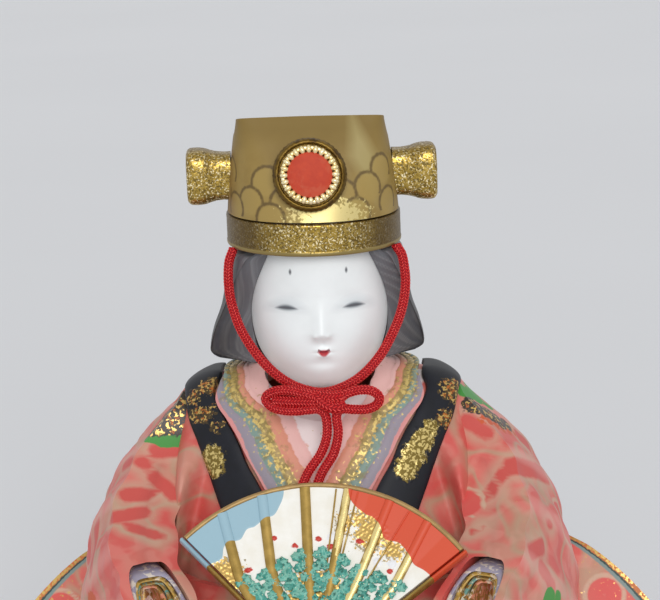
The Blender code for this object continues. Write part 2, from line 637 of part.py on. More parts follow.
def mouth_start():
    return 1.0 - MOUTH_DEPTH / SLEEVE_REACH_FRONT


def mouth_mesh(side, inset, floor, end, top_inset):
    heights = spread(MOUTH_BOTTOM + top_inset, MOUTH_TOP - top_inset, 7)
    start = mouth_start() + floor / SLEEVE_REACH_FRONT
    return loft([sleeve_ring(z, side, -inset, start, end, 4) for z in heights])


def make_mouth_cutter(name, side):
    return cutter(name, mouth_mesh(side, SLEEVE_WALL, 0.0, 1.0 + MOUTH_DEPTH / SLEEVE_REACH_FRONT, 0.0))


def make_cuff(name, side, material, rooms):
    """Stepped edges of the robes inside the sleeve's mouth, each set deeper than the one outside it."""
    inset = SLEEVE_WALL + GAP
    end = 1.0 - CUFF_LAYER_SETBACK / SLEEVE_REACH_FRONT
    obj = finish(name, mouth_mesh(side, inset, GAP, end, GAP), material)
    for layer in range(1, CUFF_LAYERS + 1):
        deep = MOUTH_DEPTH - CUFF_LAYER_SETBACK * (layer + 1)
        floor = CUFF_FLOOR if layer == CUFF_LAYERS else deep
        tool = cutter(
            f"{name}_step_{layer}",
            mouth_mesh(
                side, inset + CUFF_LAYER_THICKNESS * layer, floor, 1.0 + MOUTH_DEPTH / SLEEVE_REACH_FRONT,
                GAP + CUFF_LAYER_THICKNESS * layer,
            ),
        )
        cut(obj, tool)
    cut(obj, *rooms)
    return obj


# Collars and neckbands


def chest_height(share):
    """A height given as a share of the way from the lap up to the shoulders."""
    return LAP_HEIGHT + (SHOULDER_HEIGHT - LAP_HEIGHT) * share


def chest_angle(turn):
    """Turns degrees counted from the front into the outline's angle from +X."""
    return radians(turn) - pi / 2


def lifted(turn, height, lift):
    """A point above the torso's surface, square to it."""
    small = radians(1)
    angle = chest_angle(turn)
    step = SHOULDER_HEIGHT * 0.004
    high = min(height, SHOULDER_HEIGHT)
    along = torso_point(angle + small, high) - torso_point(angle - small, high)
    upward = torso_point(angle, high) - torso_point(angle, high - step)
    return torso_point(angle, high) + along.cross(upward).normalized() * lift


def neckband_grids(side, top, bottom, margin=0.0):
    outer, inner = [], []
    inner_edge = [(i, *row) for i, row in enumerate(BAND_INNER_SHARES)]
    outer_edge = [(i, *row) for i, row in enumerate(BAND_OUTER_SHARES)]
    for key in spread(0.0, len(inner_edge) - 1, 16):
        first, second = row_at(inner_edge, key), row_at(outer_edge, key)
        outer_row, inner_row = [], []
        for u in spread(-margin, 1.0 + margin, 5):
            turn = side * (first[0] + (second[0] - first[0]) * u)
            height = chest_height(first[1] + (second[1] - first[1]) * u)
            edge = 1.0 if margin else 1.0 - 0.25 * abs(2 * u - 1) ** 4
            outer_row.append(lifted(turn, height, GAP + (top - GAP) * edge))
            inner_row.append(lifted(turn, height, bottom))
        outer.append(outer_row)
        inner.append(inner_row)
    return outer, inner


def make_neckband(name, side, material):
    return finish(name, sheet(*neckband_grids(side, GAP + BAND_THICKNESS, GAP)), material)


def make_neckband_cutter(name, side):
    """Room for the neckband, a little wider and thicker than it."""
    outer, inner = neckband_grids(side, BAND_THICKNESS + GAP, -BAND_THICKNESS, BAND_MARGIN_SHARE)
    return cutter(name, sheet(outer, inner))


def collar_edges(turn):
    """Heights where one collar layer gives way to the next; the first is the white one at the throat."""
    throat, v_edge, low = COLLAR_EDGES_SHARES[-1][1:] if turn > 92 else row_at(COLLAR_EDGES_SHARES, turn)
    return [chest_height(share) for share in (throat, *spread(v_edge, low, COLLAR_LAYERS))]


def make_collars(material):
    """Nested collars round the neck, one ring that dips to a V in front, with a step for each robe."""
    outer, inner = [], []
    for turn in [360 * i / COLLAR_STEPS for i in range(COLLAR_STEPS)]:
        edges = collar_edges(min(turn, 360 - turn))
        outer_row, inner_row = [], []
        for layer in range(COLLAR_LAYERS):
            lift = GAP + COLLAR_BASE_THICKNESS + COLLAR_LAYER_STEP * layer
            high, low = edges[layer], edges[layer + 1]
            for height in (high, low + (high - low) * COLLAR_STEP_SHARE):
                outer_row.append(lifted(turn, height, lift))
                inner_row.append(lifted(turn, height, GAP))
        outer.append(outer_row)
        inner.append(inner_row)
    return finish("collar_layers", sheet(outer, inner, around=True), material)


# Hands, neck block, peg and back hair


def tube_ring(centre, heading, across_radius, up_radius, count):
    side = heading.cross(Vector((0, 0, 1))).normalized()
    upward = side.cross(heading).normalized()
    return [centre + side * across_radius * cos(a) + upward * up_radius * sin(a) for a in ring_angles(count)]


def make_hand(name, side, material):
    """Forearm and closed fingers that flank the fan's tang."""
    points = [Vector((side * x * SLEEVE_REACH_SIDE, y * SLEEVE_REACH_FRONT, z * SHOULDER_HEIGHT))
              for x, y, z in HAND_ROUTE_SHARES]
    tip_x = side * (FAN_TANG_HALF_WIDTH + GAP)
    points[-1] = Vector((tip_x, points[-1].y, points[-1].z))
    rings = []
    for i, point in enumerate(points):
        heading = (points[min(i + 1, len(points) - 1)] - points[max(i - 1, 0)]).normalized()
        share = HAND_WIDTH_SHARES[i]
        radius = WRIST_RADIUS + (HAND_RADIUS - WRIST_RADIUS) * share
        ring = tube_ring(point, heading, radius * HAND_FLATNESS_SHARE, radius, 12)
        if i == len(points) - 1:
            ring = [Vector((tip_x, p.y, p.z)) for p in ring]
        rings.append(ring)
    return finish(name, loft(rings), material)


def flat_ring(radius, height, count=24):
    return [Vector((radius * cos(a), radius * sin(a), height)) for a in ring_angles(count)]


def make_neck_block(material):
    """Wooden block under the shoulders; its bore is the bearing that the head's peg turns in."""
    bore = PEG_RADIUS + PEG_CLEARANCE
    tube = bore + SOCKET_WALL
    bottom, under = SOCKET_TOP - SOCKET_DEPTH, SOCKET_TOP - SOCKET_FLANGE
    seat = NECK_BOTTOM - GAP
    rings = [flat_ring(bore, z, RING_POINTS) for z in (bottom, seat)]
    rings += [flat_ring(bore + SOCKET_SEAT_WIDTH, z, RING_POINTS) for z in (seat, SOCKET_TOP)]
    rings += [
        [torso_point(a, z, -TORSO_WALL - SEAT_GAP) for a in ring_angles()] for z in (SOCKET_TOP, under)
    ]
    rings += [flat_ring(tube, z, RING_POINTS) for z in (under, bottom)]
    return finish("neck_block", loft(rings, closed=True), material)


def make_peg(material, parent):
    top = NECK_BOTTOM - GAP
    rings = [flat_ring(PEG_RADIUS * share, top - PEG_LENGTH * drop) for share, drop in PEG_ROWS_SHARES]
    return finish("neck_peg", loft(rings), material, parent)


def make_back_hair(material):
    outer, inner = [], []
    for u in spread(-1.0, 1.0, 9):
        outer_row, inner_row = [], []
        for share in spread(BACK_HAIR_ROWS_SHARES[0][0], BACK_HAIR_ROWS_SHARES[-1][0], 15):
            height = LAP_HEIGHT * share if share < 1.0 else chest_height(share - 1.0)
            depth, width, bend = row_at(BACK_HAIR_ROWS_SHARES, share)
            x = u * width * HAIR_TAIL_HALF_WIDTH
            y = depth * SKIRT_BACK - x * x / (2 * bend * SKIRT_BACK)
            full = HAIR_TAIL_THICKNESS * (1.0 - 0.8 * u**4)
            inner_row.append(Vector((x, y, height)))
            outer_row.append(Vector((x, y + full, height)))
        outer.append(outer_row)
        inner.append(inner_row)
    return finish("back_hair", sheet(outer, inner), material)


# Head and hair


def nose_rise(height):
    """How far the nose stands out at this height, from nothing to one."""
    if height > NOSE_TIP_Z:
        return max(0.0, 1.0 - (height - NOSE_TIP_Z) / NOSE_BRIDGE) ** 1.3
    return max(0.0, 1.0 - (NOSE_TIP_Z - height) / NOSE_UNDERSIDE) ** 2


def head_point(angle, height, grow=0.0):
    wide, front, back = row_at(HEAD_ROWS_SHARES, (height - NECK_BOTTOM) / HEAD_HEIGHT)
    x, y = outline(
        angle, wide * FACE_HALF_WIDTH + grow, front * FACE_DEPTH + grow, back * HEAD_BACK + grow, 2.1
    )
    return Vector((x, y, height))


def face_angles(count):
    """Angles round the head that crowd together at the face's middle."""
    turns = [2 * pi * i / count - pi for i in range(count)]
    return [t - 0.5 * sin(t) - pi / 2 for t in turns]


def make_head(material, parent):
    rings = []
    for share in HEAD_LEVELS_SHARES:
        height = NECK_BOTTOM + HEAD_HEIGHT * share
        ring = [head_point(a, height) for a in face_angles(36)]
        for point in ring:
            if point.y < 0:
                point.y -= NOSE_HEIGHT * nose_rise(height) * exp(-((point.x / NOSE_HALF_WIDTH) ** 2))
        rings.append(ring)
    return finish("head", loft(rings), material, parent)


def hair_point(angle, height):
    wide, front, back, _ = row_at(HAIR_ROWS_SHARES, (height - HAIR_BOTTOM) / HAIR_HEIGHT)
    x, y = outline(angle, wide * HAIR_HALF_WIDTH, front * HAIR_DEPTH, back * HAIR_DEPTH, 2.1)
    aside = HAIR_ASIDE * (HAIR_BOTTOM + HAIR_HEIGHT - height) / HAIR_HEIGHT
    return Vector((x - aside, y, height))


def make_hair(material, parent):
    outer, inner = [], []
    for u in spread(0.0, 1.0, 25):
        outer_row, inner_row = [], []
        for share in HAIR_LEVELS_SHARES:
            height = HAIR_BOTTOM + HAIR_HEIGHT * share
            open_turn = row_at(HAIR_ROWS_SHARES, share)[3] * pi
            angle = -open_turn + (pi + 2 * open_turn) * u
            outer_row.append(hair_point(angle, height))
            inner_row.append(head_point(angle, height, GAP))
        outer.append(outer_row)
        inner.append(inner_row)
    return finish("head_hair", sheet(outer, inner), material, parent)


# Crown


def band_ring(height, grow=0.0):
    return [
        Vector((*outline(a, BAND_HALF_WIDTH + grow, BAND_FRONT + grow, BAND_BACK + grow), height))
        for a in ring_angles()
    ]


def make_crown_band(material, parent):
    low, high = BAND_BOTTOM, BAND_BOTTOM + BAND_HEIGHT
    edge = BAND_WALL / 4
    rings = [
        band_ring(low, -edge), band_ring(low + edge), band_ring(high - edge), band_ring(high, -edge),
        band_ring(high, -BAND_WALL), band_ring(low, -BAND_WALL),
    ]
    return finish("crown_band", loft(rings, closed=True), material, parent)


def cap_ring(share, grow=0.0):
    """One outline of the cap, which squares off and leans back as it rises."""
    wide, front, back, square = row_at(CAP_ROWS_SHARES, share)
    base = BAND_BOTTOM + BAND_HEIGHT + GAP
    ring = []
    for angle in ring_angles():
        x, y = outline(
            angle, wide * BAND_HALF_WIDTH + grow, front * BAND_FRONT + grow, back * BAND_BACK + grow, square
        )
        fall = CAP_TOP_SLOPE_SHARE * (y + front * BAND_FRONT) * max(0.0, 4 * share - 3)
        ring.append(Vector((x, y, base + CAP_HEIGHT * share - fall)))
    return ring


def make_crown_cap(material, parent):
    base = BAND_BOTTOM + BAND_HEIGHT + GAP
    roof = NECK_BOTTOM + HEAD_HEIGHT
    rings = []
    for z in spread(roof, base, 6):
        lift = HEAD_IN_CAP_GAP if z == roof else 0.0
        ring = [head_point(a, z, HEAD_IN_CAP_GAP) for a in ring_angles()]
        rings.append([point + Vector((0, 0, lift)) for point in ring])
    rings += [cap_ring(share) for share in CAP_LEVELS_SHARES]
    return finish("crown_cap", loft(rings), material, parent)


def make_cap_cutter(parent):
    rings = [cap_ring(share, GAP) for share in CAP_LEVELS_SHARES]
    return cutter("cap_room", loft(rings), parent)


def boss_ring(radius_share, reach):
    return flat_ring(BOSS_RADIUS * radius_share, reach, 32)


def make_boss(material, parent, cap_room):
    floor = BOSS_LENGTH - BOSS_RECESS_DEPTH
    recess = BOSS_RECESS_RADIUS / BOSS_RADIUS
    rings = [boss_ring(share, BOSS_LENGTH * reach) for share, reach in BOSS_ROWS_SHARES]
    rings += [boss_ring(recess, BOSS_LENGTH - BOSS_RECESS_DEPTH / 5), boss_ring(recess, floor)]
    obj = finish("boss_ring", loft(rings), material, parent)
    cut(obj, cap_room)
    return obj


def make_bezel(material, parent):
    """Toothed collet that grips the stone."""
    outer = BOSS_RECESS_RADIUS - GAP
    inner = outer - BEZEL_WALL
    low = BOSS_LENGTH - BOSS_RECESS_DEPTH + GAP
    high = low + BEZEL_HEIGHT
    count = 2 * BEZEL_TEETH

    def toothed(radius, lift):
        ring = flat_ring(radius, lift, count)
        for point in ring[::2]:
            point.z -= BEZEL_TOOTH
            point.xy *= 1 - BEZEL_TOOTH / (2 * outer)
        return ring

    rings = [flat_ring(outer, low, count), toothed(outer, high), toothed(inner, high + BEZEL_TOOTH / 2),
             flat_ring(inner, low, count)]
    return finish("boss_bezel", loft(rings, closed=True), material, parent)


def make_stone(material, parent):
    radius = BOSS_RECESS_RADIUS - BEZEL_WALL - 2 * GAP
    low = BOSS_LENGTH - BOSS_RECESS_DEPTH + GAP
    rings = [flat_ring(radius * share, low + STONE_HEIGHT * rise, 28) for share, rise in STONE_ROWS_SHARES]
    return finish("boss_stone", loft(rings), material, parent)


def make_side_boss(name, side, material, parent, cap_room):
    rings = []
    for reach_share, size_share in SIDE_BOSS_ROWS_SHARES:
        x = side * (SIDE_BOSS_NECK + (SIDE_BOSS_REACH - SIDE_BOSS_NECK) * reach_share)
        ring = []
        for a in ring_angles(24):
            y, z = outline(a, SIDE_BOSS_DEPTH / 2, SIDE_BOSS_HEIGHT / 2, SIDE_BOSS_HEIGHT / 2, 5.0)
            ring.append(Vector((x, y * size_share, SIDE_BOSS_Z + z * size_share)))
        rings.append(ring)
    obj = finish(name, loft(rings), material, parent)
    cut(obj, cap_room)
    return obj


# Cord


def by_face(shares):
    """A place near the head, told in shares of the face's size."""
    x, y, z = shares
    return Vector((x * FACE_HALF_WIDTH, y * FACE_DEPTH, NECK_BOTTOM + z * HEAD_HEIGHT))


def smooth_route(shares, samples=12):
    """A smooth line through all the chosen places."""
    route = [by_face(place) for place in shares]
    points = []
    for i in range(len(route) - 1):
        before, after = route[max(i - 1, 0)], route[min(i + 2, len(route) - 1)]
        for t in spread(0.0, 1.0, samples + 1)[:-1]:
            a, b = route[i], route[i + 1]
            points.append(
                0.5 * (2 * a + (b - before) * t + (2 * before - 5 * a + 4 * b - after) * t**2
                       + (3 * a - before - 3 * b + after) * t**3)
            )
    points.append(route[-1])
    return points


def evenly(points, count):
    """So many points at equal steps along a line."""
    lengths = [0.0]
    for first, second in zip(points, points[1:]):
        lengths.append(lengths[-1] + (second - first).length)
    found, at = [], 0
    for want in spread(0.0, lengths[-1], count):
        while at < len(points) - 2 and lengths[at + 1] < want:
            at += 1
        span = lengths[at + 1] - lengths[at]
        found.append(points[at].lerp(points[at + 1], (want - lengths[at]) / span))
    return found


def make_cord(name, route, count, resolution, material):
    curve = bpy.data.curves.new(name, "CURVE")
    curve.dimensions = "3D"
    curve.bevel_depth = CORD_DIAMETER / 2
    curve.bevel_resolution = resolution
    curve.use_fill_caps = True
    points = evenly(smooth_route(route), count)
    spline = curve.splines.new("POLY")
    spline.points.add(len(points) - 1)
    for slot, point in zip(spline.points, points):
        slot.co = (*point, 1.0)
    obj = bpy.data.objects.new(name, curve)
    bpy.context.scene.collection.objects.link(obj)
    obj.data.materials.append(material)
    return obj


def make_knot(material):
    rings = []
    for share in spread(-1.0, 1.0, 9):
        size = sqrt(max(1.0 - abs(share) ** 2.6, 0.0)) if abs(share) < 1.0 else 0.3
        ring = []
        for a in ring_angles(16):
            y, z = outline(a, KNOT_HALF_DEPTH, KNOT_HALF_HEIGHT, KNOT_HALF_HEIGHT, 2.4)
            ring.append(by_face(KNOT_CENTRE_SHARES) + Vector((KNOT_HALF_WIDTH * share, y * size, z * size)))
        rings.append(ring)
    return finish("cord_knot", loft(rings), material)


# Fan


def fan_turns(count):
    return spread(FAN_LEAN - FAN_HALF_ANGLE, FAN_LEAN + FAN_HALF_ANGLE, count)


def fan_point(turn, radius, front):
    return Vector((radius * sin(turn), -front, radius * cos(turn)))


def make_fan_leaf(material, parent):
    outer, inner = [], []
    edge = FAN_RADIUS - FAN_RIM_WIDTH - GAP
    for i, turn in enumerate(fan_turns(2 * FAN_FOLDS + 1)):
        fold = FAN_FOLD_DEPTH / 2 if i % 2 else -FAN_FOLD_DEPTH / 2
        radii = spread(FAN_LEAF_INNER, edge, 3)
        outer.append([fan_point(turn, r, FAN_LEAF_THICKNESS / 2 + fold) for r in radii])
        inner.append([fan_point(turn, r, -FAN_LEAF_THICKNESS / 2 + fold) for r in radii])
    return finish("fan_leaf", sheet(outer, inner), material, parent)


def make_fan_rim(material, parent):
    outer, inner = [], []
    for turn in fan_turns(33):
        radii = (FAN_RADIUS - FAN_RIM_WIDTH, FAN_RADIUS - FAN_RIM_WIDTH / 3, FAN_RADIUS)
        fronts = (FAN_RIM_THICKNESS / 2, FAN_RIM_THICKNESS / 2, FAN_RIM_THICKNESS / 3)
        outer.append([fan_point(turn, r, front) for r, front in zip(radii, fronts)])
        inner.append([fan_point(turn, r, -front) for r, front in zip(radii, fronts)])
    return finish("fan_rim", sheet(outer, inner), material, parent)


def plate(points, front, thickness):
    """A flat outline in the fan's plane, given as x and z, made thick."""
    mesh = bmesh.new()
    tops = [mesh.verts.new((x, -front - thickness, z)) for x, z in points]
    bottoms = [mesh.verts.new((x, -front, z)) for x, z in points]
    mesh.faces.new(tops)
    mesh.faces.new(bottoms[::-1])
    for i in range(len(points)):
        j = (i + 1) % len(points)
        mesh.faces.new((tops[i], bottoms[i], bottoms[j], tops[j]))
    return mesh


def bar_corners(turn, radius, half_width):
    """The two corners at a bar's outer end."""
    along, across = (sin(turn), cos(turn)), (cos(turn), -sin(turn))
    return [
        (along[0] * radius + across[0] * w, along[1] * radius + across[1] * w)
        for w in (-half_width, half_width)
    ]


def make_fan_sticks(material, parent):
    """Ribs that spread from one hub, with the tang that the hands hold."""
    turns = fan_turns(FAN_RIBS + 2)[1:-1]
    step = turns[1] - turns[0]
    valley = FAN_RIB_HALF_WIDTH / sin(step / 2)
    reach = FAN_RADIUS - FAN_RIM_WIDTH - GAP
    points = []
    for turn in turns:
        points += bar_corners(turn, reach, FAN_RIB_HALF_WIDTH)
        if turn < turns[-1]:
            points.append((valley * sin(turn + step / 2), valley * cos(turn + step / 2)))
    foot = sqrt(FAN_HUB_RADIUS**2 - FAN_TANG_HALF_WIDTH**2)
    side_x = FAN_HUB_RADIUS
    points += [(side_x, FAN_HUB_RADIUS / 2), (side_x * 0.8, -FAN_HUB_RADIUS * 0.6)]
    points += [(FAN_TANG_HALF_WIDTH, -foot), (FAN_TANG_HALF_WIDTH, -FAN_TANG_LENGTH)]
    points += [(-FAN_TANG_HALF_WIDTH, -FAN_TANG_LENGTH), (-FAN_TANG_HALF_WIDTH, -foot)]
    points += [(-side_x * 0.8, -FAN_HUB_RADIUS * 0.6), (-side_x, FAN_HUB_RADIUS / 2)]
    front = FAN_LEAF_THICKNESS / 2 + FAN_FOLD_DEPTH / 2 + GAP
    obj = finish("fan_sticks", plate(points, front, FAN_RIB_THICKNESS), material, parent)
    hole = cutter("rivet_hole", rivet_mesh(front, GAP), parent)
    cut(obj, hole)
    return obj


def make_fan_guard(name, side, material, parent):
    turn = FAN_LEAN + side * FAN_HALF_ANGLE
    across = (cos(turn), -sin(turn))
    shift = side * (FAN_GUARD_HALF_WIDTH + GAP)
    points = bar_corners(turn, FAN_LEAF_INNER - FAN_HUB_RADIUS, FAN_GUARD_HALF_WIDTH)
    points += bar_corners(turn, FAN_RADIUS, FAN_GUARD_HALF_WIDTH)[::-1]
    points = [(x + across[0] * shift, z + across[1] * shift) for x, z in points]
    return finish(name, plate(points, -FAN_RIM_THICKNESS / 2, FAN_RIM_THICKNESS), material, parent)


def rivet_mesh(front, grow):
    """Shank of the rivet, with its heads unless it is grown into the hole that clears it."""
    back, face = front - GAP, front + FAN_RIB_THICKNESS + GAP
    ends = (back - FAN_RIVET_HEAD_HEIGHT, face + FAN_RIVET_HEAD_HEIGHT)
    if grow:
        rows = [(FAN_RIVET_RADIUS + grow, y) for y in ends]
    else:
        crown = FAN_RIVET_HEAD * 0.8
        rows = [(crown, ends[0]), (FAN_RIVET_HEAD, back), (FAN_RIVET_RADIUS, back)]
        rows += [(FAN_RIVET_RADIUS, face), (FAN_RIVET_HEAD, face), (crown, ends[1])]
    return loft([[Vector((r * cos(a), -y, r * sin(a))) for a in ring_angles(20)] for r, y in rows])


def make_rivet(material, parent):
    front = FAN_LEAF_THICKNESS / 2 + FAN_FOLD_DEPTH / 2 + GAP
    return finish("fan_rivet", rivet_mesh(front, 0.0), material, parent)


def make_robes():
    robe = paint("painted_clay_coral", (0.66, 0.13, 0.1), 0.45)
    layers = paint("painted_clay_layers", (0.55, 0.4, 0.3), 0.45)
    navy = paint("painted_clay_navy", (0.01, 0.012, 0.03), 0.4)
    bisque = paint("bisque_white", (0.85, 0.84, 0.8), 0.4)
    felt = paint("felt_grey", (0.2, 0.2, 0.2), 0.9)
    wood = paint("peg_wood", (0.55, 0.38, 0.2), 0.6)
    hair = paint("hair_black", (0.03, 0.03, 0.035), 0.35)
    rooms = (make_torso_cutter(), make_under_cutter(), make_skirt_cutter())
    make_torso(robe)
    make_under_robes(layers)
    make_skirt(robe)
    make_train(layers)
    make_front_hems(layers)
    make_base_pad(felt)
    make_neck_block(wood)
    make_back_hair(hair)
    make_collars(layers)
    for side, word in ((1, "left"), (-1, "right")):
        band_room = make_neckband_cutter(word + "_band_room", side)
        pocket = make_mouth_cutter(word + "_mouth", side)
        make_sleeve(word + "_sleeve", side, robe, (*rooms, band_room), pocket)
        make_cuff(word + "_cuff_layers", side, layers, rooms)
        make_neckband(word + "_neckband", side, navy)
        make_hand(word + "_hand", side, bisque)


def make_head_and_crown():
    bisque = paint("bisque_face", (0.88, 0.87, 0.84), 0.35)
    hair = paint("hair_satin", (0.05, 0.048, 0.05), 0.35)
    matte_gold = paint("crown_ochre", (0.32, 0.2, 0.05), 0.55)
    gold = paint("gold_leaf", (0.65, 0.45, 0.12), 0.3, 1.0)
    stone = paint("stone_red", (0.6, 0.05, 0.03), 0.35)
    wood = paint("peg_dowel", (0.55, 0.38, 0.2), 0.6)
    axis = empty("head_axis", (0.0, 0.0, 0.0), (0.0, 0.0, HEAD_REST_TURN))
    make_peg(wood, axis)
    make_head(bisque, axis)
    make_hair(hair, axis)
    make_crown_band(gold, axis)
    make_crown_cap(matte_gold, axis)
    cap_room = make_cap_cutter(axis)
    for side, word in ((1, "left"), (-1, "right")):
        make_side_boss(word + "_side_boss", side, gold, axis, cap_room)
    back_y = BOSS_FRONT - BOSS_LENGTH * cos(BOSS_TILT)
    back_z = BOSS_HEIGHT - BOSS_LENGTH * sin(BOSS_TILT)
    seat = empty("boss_seat", (0.0, -back_y, back_z), (pi / 2 - BOSS_TILT, 0.0, 0.0))
    seat.parent = axis
    make_boss(gold, seat, cap_room)
    make_bezel(gold, seat)
    make_stone(stone, seat)


def make_cords():
    silk = paint("cord_red", (0.5, 0.01, 0.015), 0.5)
    make_cord("chin_cord", CHIN_ROUTE_SHARES, 22, 2, silk)
    make_cord("bow_loop_right", RIGHT_LOOP_SHARES, 20, 1, silk)
    make_cord("bow_loop_left", LEFT_LOOP_SHARES, 20, 1, silk)
    make_cord("cord_tail_left", LEFT_TAIL_SHARES, 10, 2, silk)
    make_cord("cord_tail_right", RIGHT_TAIL_SHARES, 10, 2, silk)
    make_knot(silk)


def make_fan():
    paper = paint("fan_painted", (0.8, 0.75, 0.6), 0.5)
    gold = paint("fan_gold", (0.55, 0.36, 0.1), 0.35, 0.8)
    brass = paint("rivet_brass", (0.7, 0.5, 0.15), 0.3, 1.0)
    height = HAND_ROUTE_SHARES[-1][2] * SHOULDER_HEIGHT + FAN_OVER_HANDS
    pivot = empty("fan_pivot", (0.0, -FAN_PIVOT_FRONT, height), (-FAN_TILT, 0.0, 0.0))
    make_fan_leaf(paper, pivot)
    make_fan_rim(gold, pivot)
    make_fan_sticks(gold, pivot)
    make_fan_guard("fan_guard_left", 1, gold, pivot)
    make_fan_guard("fan_guard_right", -1, gold, pivot)
    make_rivet(brass, pivot)


clear_scene()
CUTTER_MATERIAL = paint("cutter", (0.5, 0.5, 0.5), 0.5)
make_robes()
make_head_and_crown()
make_cords()
make_fan()
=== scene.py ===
# Seated hina doll of painted clay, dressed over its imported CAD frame.
# Sizes are in millimetres until a mesh is made.
from math import cos, sin, pi, radians, sqrt

import bmesh
import bpy
import numpy as np
from mathutils import Matrix, Vector


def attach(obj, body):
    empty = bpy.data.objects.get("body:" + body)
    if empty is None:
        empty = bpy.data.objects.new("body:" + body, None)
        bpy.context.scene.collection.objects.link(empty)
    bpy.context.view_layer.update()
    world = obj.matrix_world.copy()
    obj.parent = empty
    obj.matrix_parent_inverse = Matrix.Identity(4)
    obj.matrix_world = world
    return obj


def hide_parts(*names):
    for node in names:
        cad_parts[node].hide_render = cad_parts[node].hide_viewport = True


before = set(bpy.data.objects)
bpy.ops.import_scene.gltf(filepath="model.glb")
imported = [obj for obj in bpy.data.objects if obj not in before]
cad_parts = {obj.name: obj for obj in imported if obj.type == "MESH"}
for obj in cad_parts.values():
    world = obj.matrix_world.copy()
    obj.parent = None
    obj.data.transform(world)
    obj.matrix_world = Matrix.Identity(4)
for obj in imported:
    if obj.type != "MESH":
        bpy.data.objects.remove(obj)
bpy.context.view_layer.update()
mm = 0.001
gap = 0.35  # left between pieces, as in the solids
bothSides = (("left", 1), ("right", -1))
unpainted = -9.0  # a field's value where none of its paint lies

# Shared helpers


def linearColour(text):
    # sRGB hex to the linear colour that Blender's sockets take
    channels = [int(text[i:i + 2], 16) / 255 for i in (1, 3, 5)]
    return (*[c / 12.92 if c <= 0.04045 else ((c + 0.055) / 1.055) ** 2.4 for c in channels], 1.0)


def put(tree, kind, links=None, **settings):
    made = tree.nodes.new(kind)
    for key, value in settings.items():
        setattr(made, key, value)
    for key, value in (links or {}).items():
        if isinstance(value, bpy.types.NodeSocket):
            tree.links.new(value, made.inputs[key])
        else:
            made.inputs[key].default_value = value
    return made


def rowAt(rows, keys):
    # the values of a table's rows at each key, on a smooth curve through the rows
    rows, keys = np.asarray(rows, float), np.asarray(keys, float)
    low = np.searchsorted(rows[1:-1, 0], keys)
    first, second = rows[low], rows[low + 1]
    before, after = rows[np.maximum(low - 1, 0)], rows[np.minimum(low + 2, len(rows) - 1)]
    span = (second - first)[..., :1]
    t = np.clip((keys[..., None] - first[..., :1]) / span, 0, 1)
    rise = (second - before) / (second - before)[..., :1] * span
    fall = (after - first) / (after - first)[..., :1] * span
    values = ((2 * t**3 - 3 * t**2 + 1) * first + (t**3 - 2 * t**2 + t) * rise
              + (3 * t**2 - 2 * t**3) * second + (t**3 - t**2) * fall)
    return [values[..., i] for i in range(1, rows.shape[1])]


def outline(angle, halfWidth, front, back, squareness=2.0):
    c, s = np.cos(angle), np.sin(angle)
    reach = (np.abs(c) ** squareness + np.abs(s) ** squareness) ** (-1 / squareness)
    return halfWidth * c * reach, np.where(s > 0, back, front) * s * reach


def points(x, y, z):
    return np.stack(np.broadcast_arrays(np.asarray(x, float), y, z), -1)


def grid(first, second):
    return np.meshgrid(first, second, indexing="ij")


def circle(count):
    return np.linspace(0, 2 * pi, count, endpoint=False)


def unit(vectors):
    return vectors / np.linalg.norm(vectors, axis=-1)[..., None]


def widthAndDepth(rows, share, angle, sizes, grow, squareness):
    # a rounded section whose half width, front and back follow a table of shares
    halfWidth, front, back = (part * size + grow for part, size in zip(rowAt(rows, share), sizes))
    return outline(angle, halfWidth, front, back, squareness)


def smoothStep(low, high, value):
    t = np.clip((value - low) / (high - low), 0, 1)
    return t * t * (3 - 2 * t)


def bump(x, z, spot):
    # a soft round rise at a spot: place, spread and height
    atX, atZ, wide, tall, high = spot
    return high * np.exp(-((x - atX) / wide) ** 2 - ((z - atZ) / tall) ** 2)


def ripple(place, size, seed, waves=14):
    # smooth wandering values of about -1 to 1, made of a few slanted waves
    numbers = np.random.default_rng(seed)
    ways = unit(numbers.normal(size=(waves, 3)))
    ways *= 2 * pi / size * numbers.uniform(0.6, 1.6, (waves, 1))
    return np.sin(place @ ways.T + numbers.uniform(0, 2 * pi, waves)).sum(-1) / sqrt(waves)


def gridFaces(rows, columns, wrapRows=False, wrapColumns=False, start=0):
    i, j = np.meshgrid(np.arange(rows if wrapRows else rows - 1),
                       np.arange(columns if wrapColumns else columns - 1), indexing="ij")
    k, m = (i + 1) % rows, (j + 1) % columns
    corners = np.stack([i * columns + j, i * columns + m, k * columns + m, k * columns + j], -1)
    return (corners.reshape(-1, 4) + start).tolist()


def loft(rings, closed=False):
    count, around = rings.shape[:2]
    verts, faces = rings.reshape(-1, 3), gridFaces(count, around, closed, True)
    if not closed:
        for middle, first in ((len(verts), 0), (len(verts) + 1, (count - 1) * around)):
            faces += [[first + j, first + (j + 1) % around, middle] for j in range(around)]
        verts = np.vstack([verts, rings[0].mean(0), rings[-1].mean(0)])
    return verts, faces


def shell(outer, inner, around=False):
    # a closed solid between two grids, such as the two faces of a layer of robe
    rows, columns = outer.shape[:2]
    size = rows * columns
    faces = gridFaces(rows, columns, around) + gridFaces(rows, columns, around, start=size)
    index = np.arange(size).reshape(rows, columns)
    rims = [(index[:, 0], around), (index[:, -1], around)]
    rims += [] if around else [(index[0], False), (index[-1], False)]
    for rim, wraps in rims:
        here, ahead = (rim, np.roll(rim, -1)) if wraps else (rim[:-1], rim[1:])
        faces += np.stack([here, ahead, ahead + size, here + size], -1).tolist()
    return np.vstack([outer.reshape(-1, 3), inner.reshape(-1, 3)]), faces


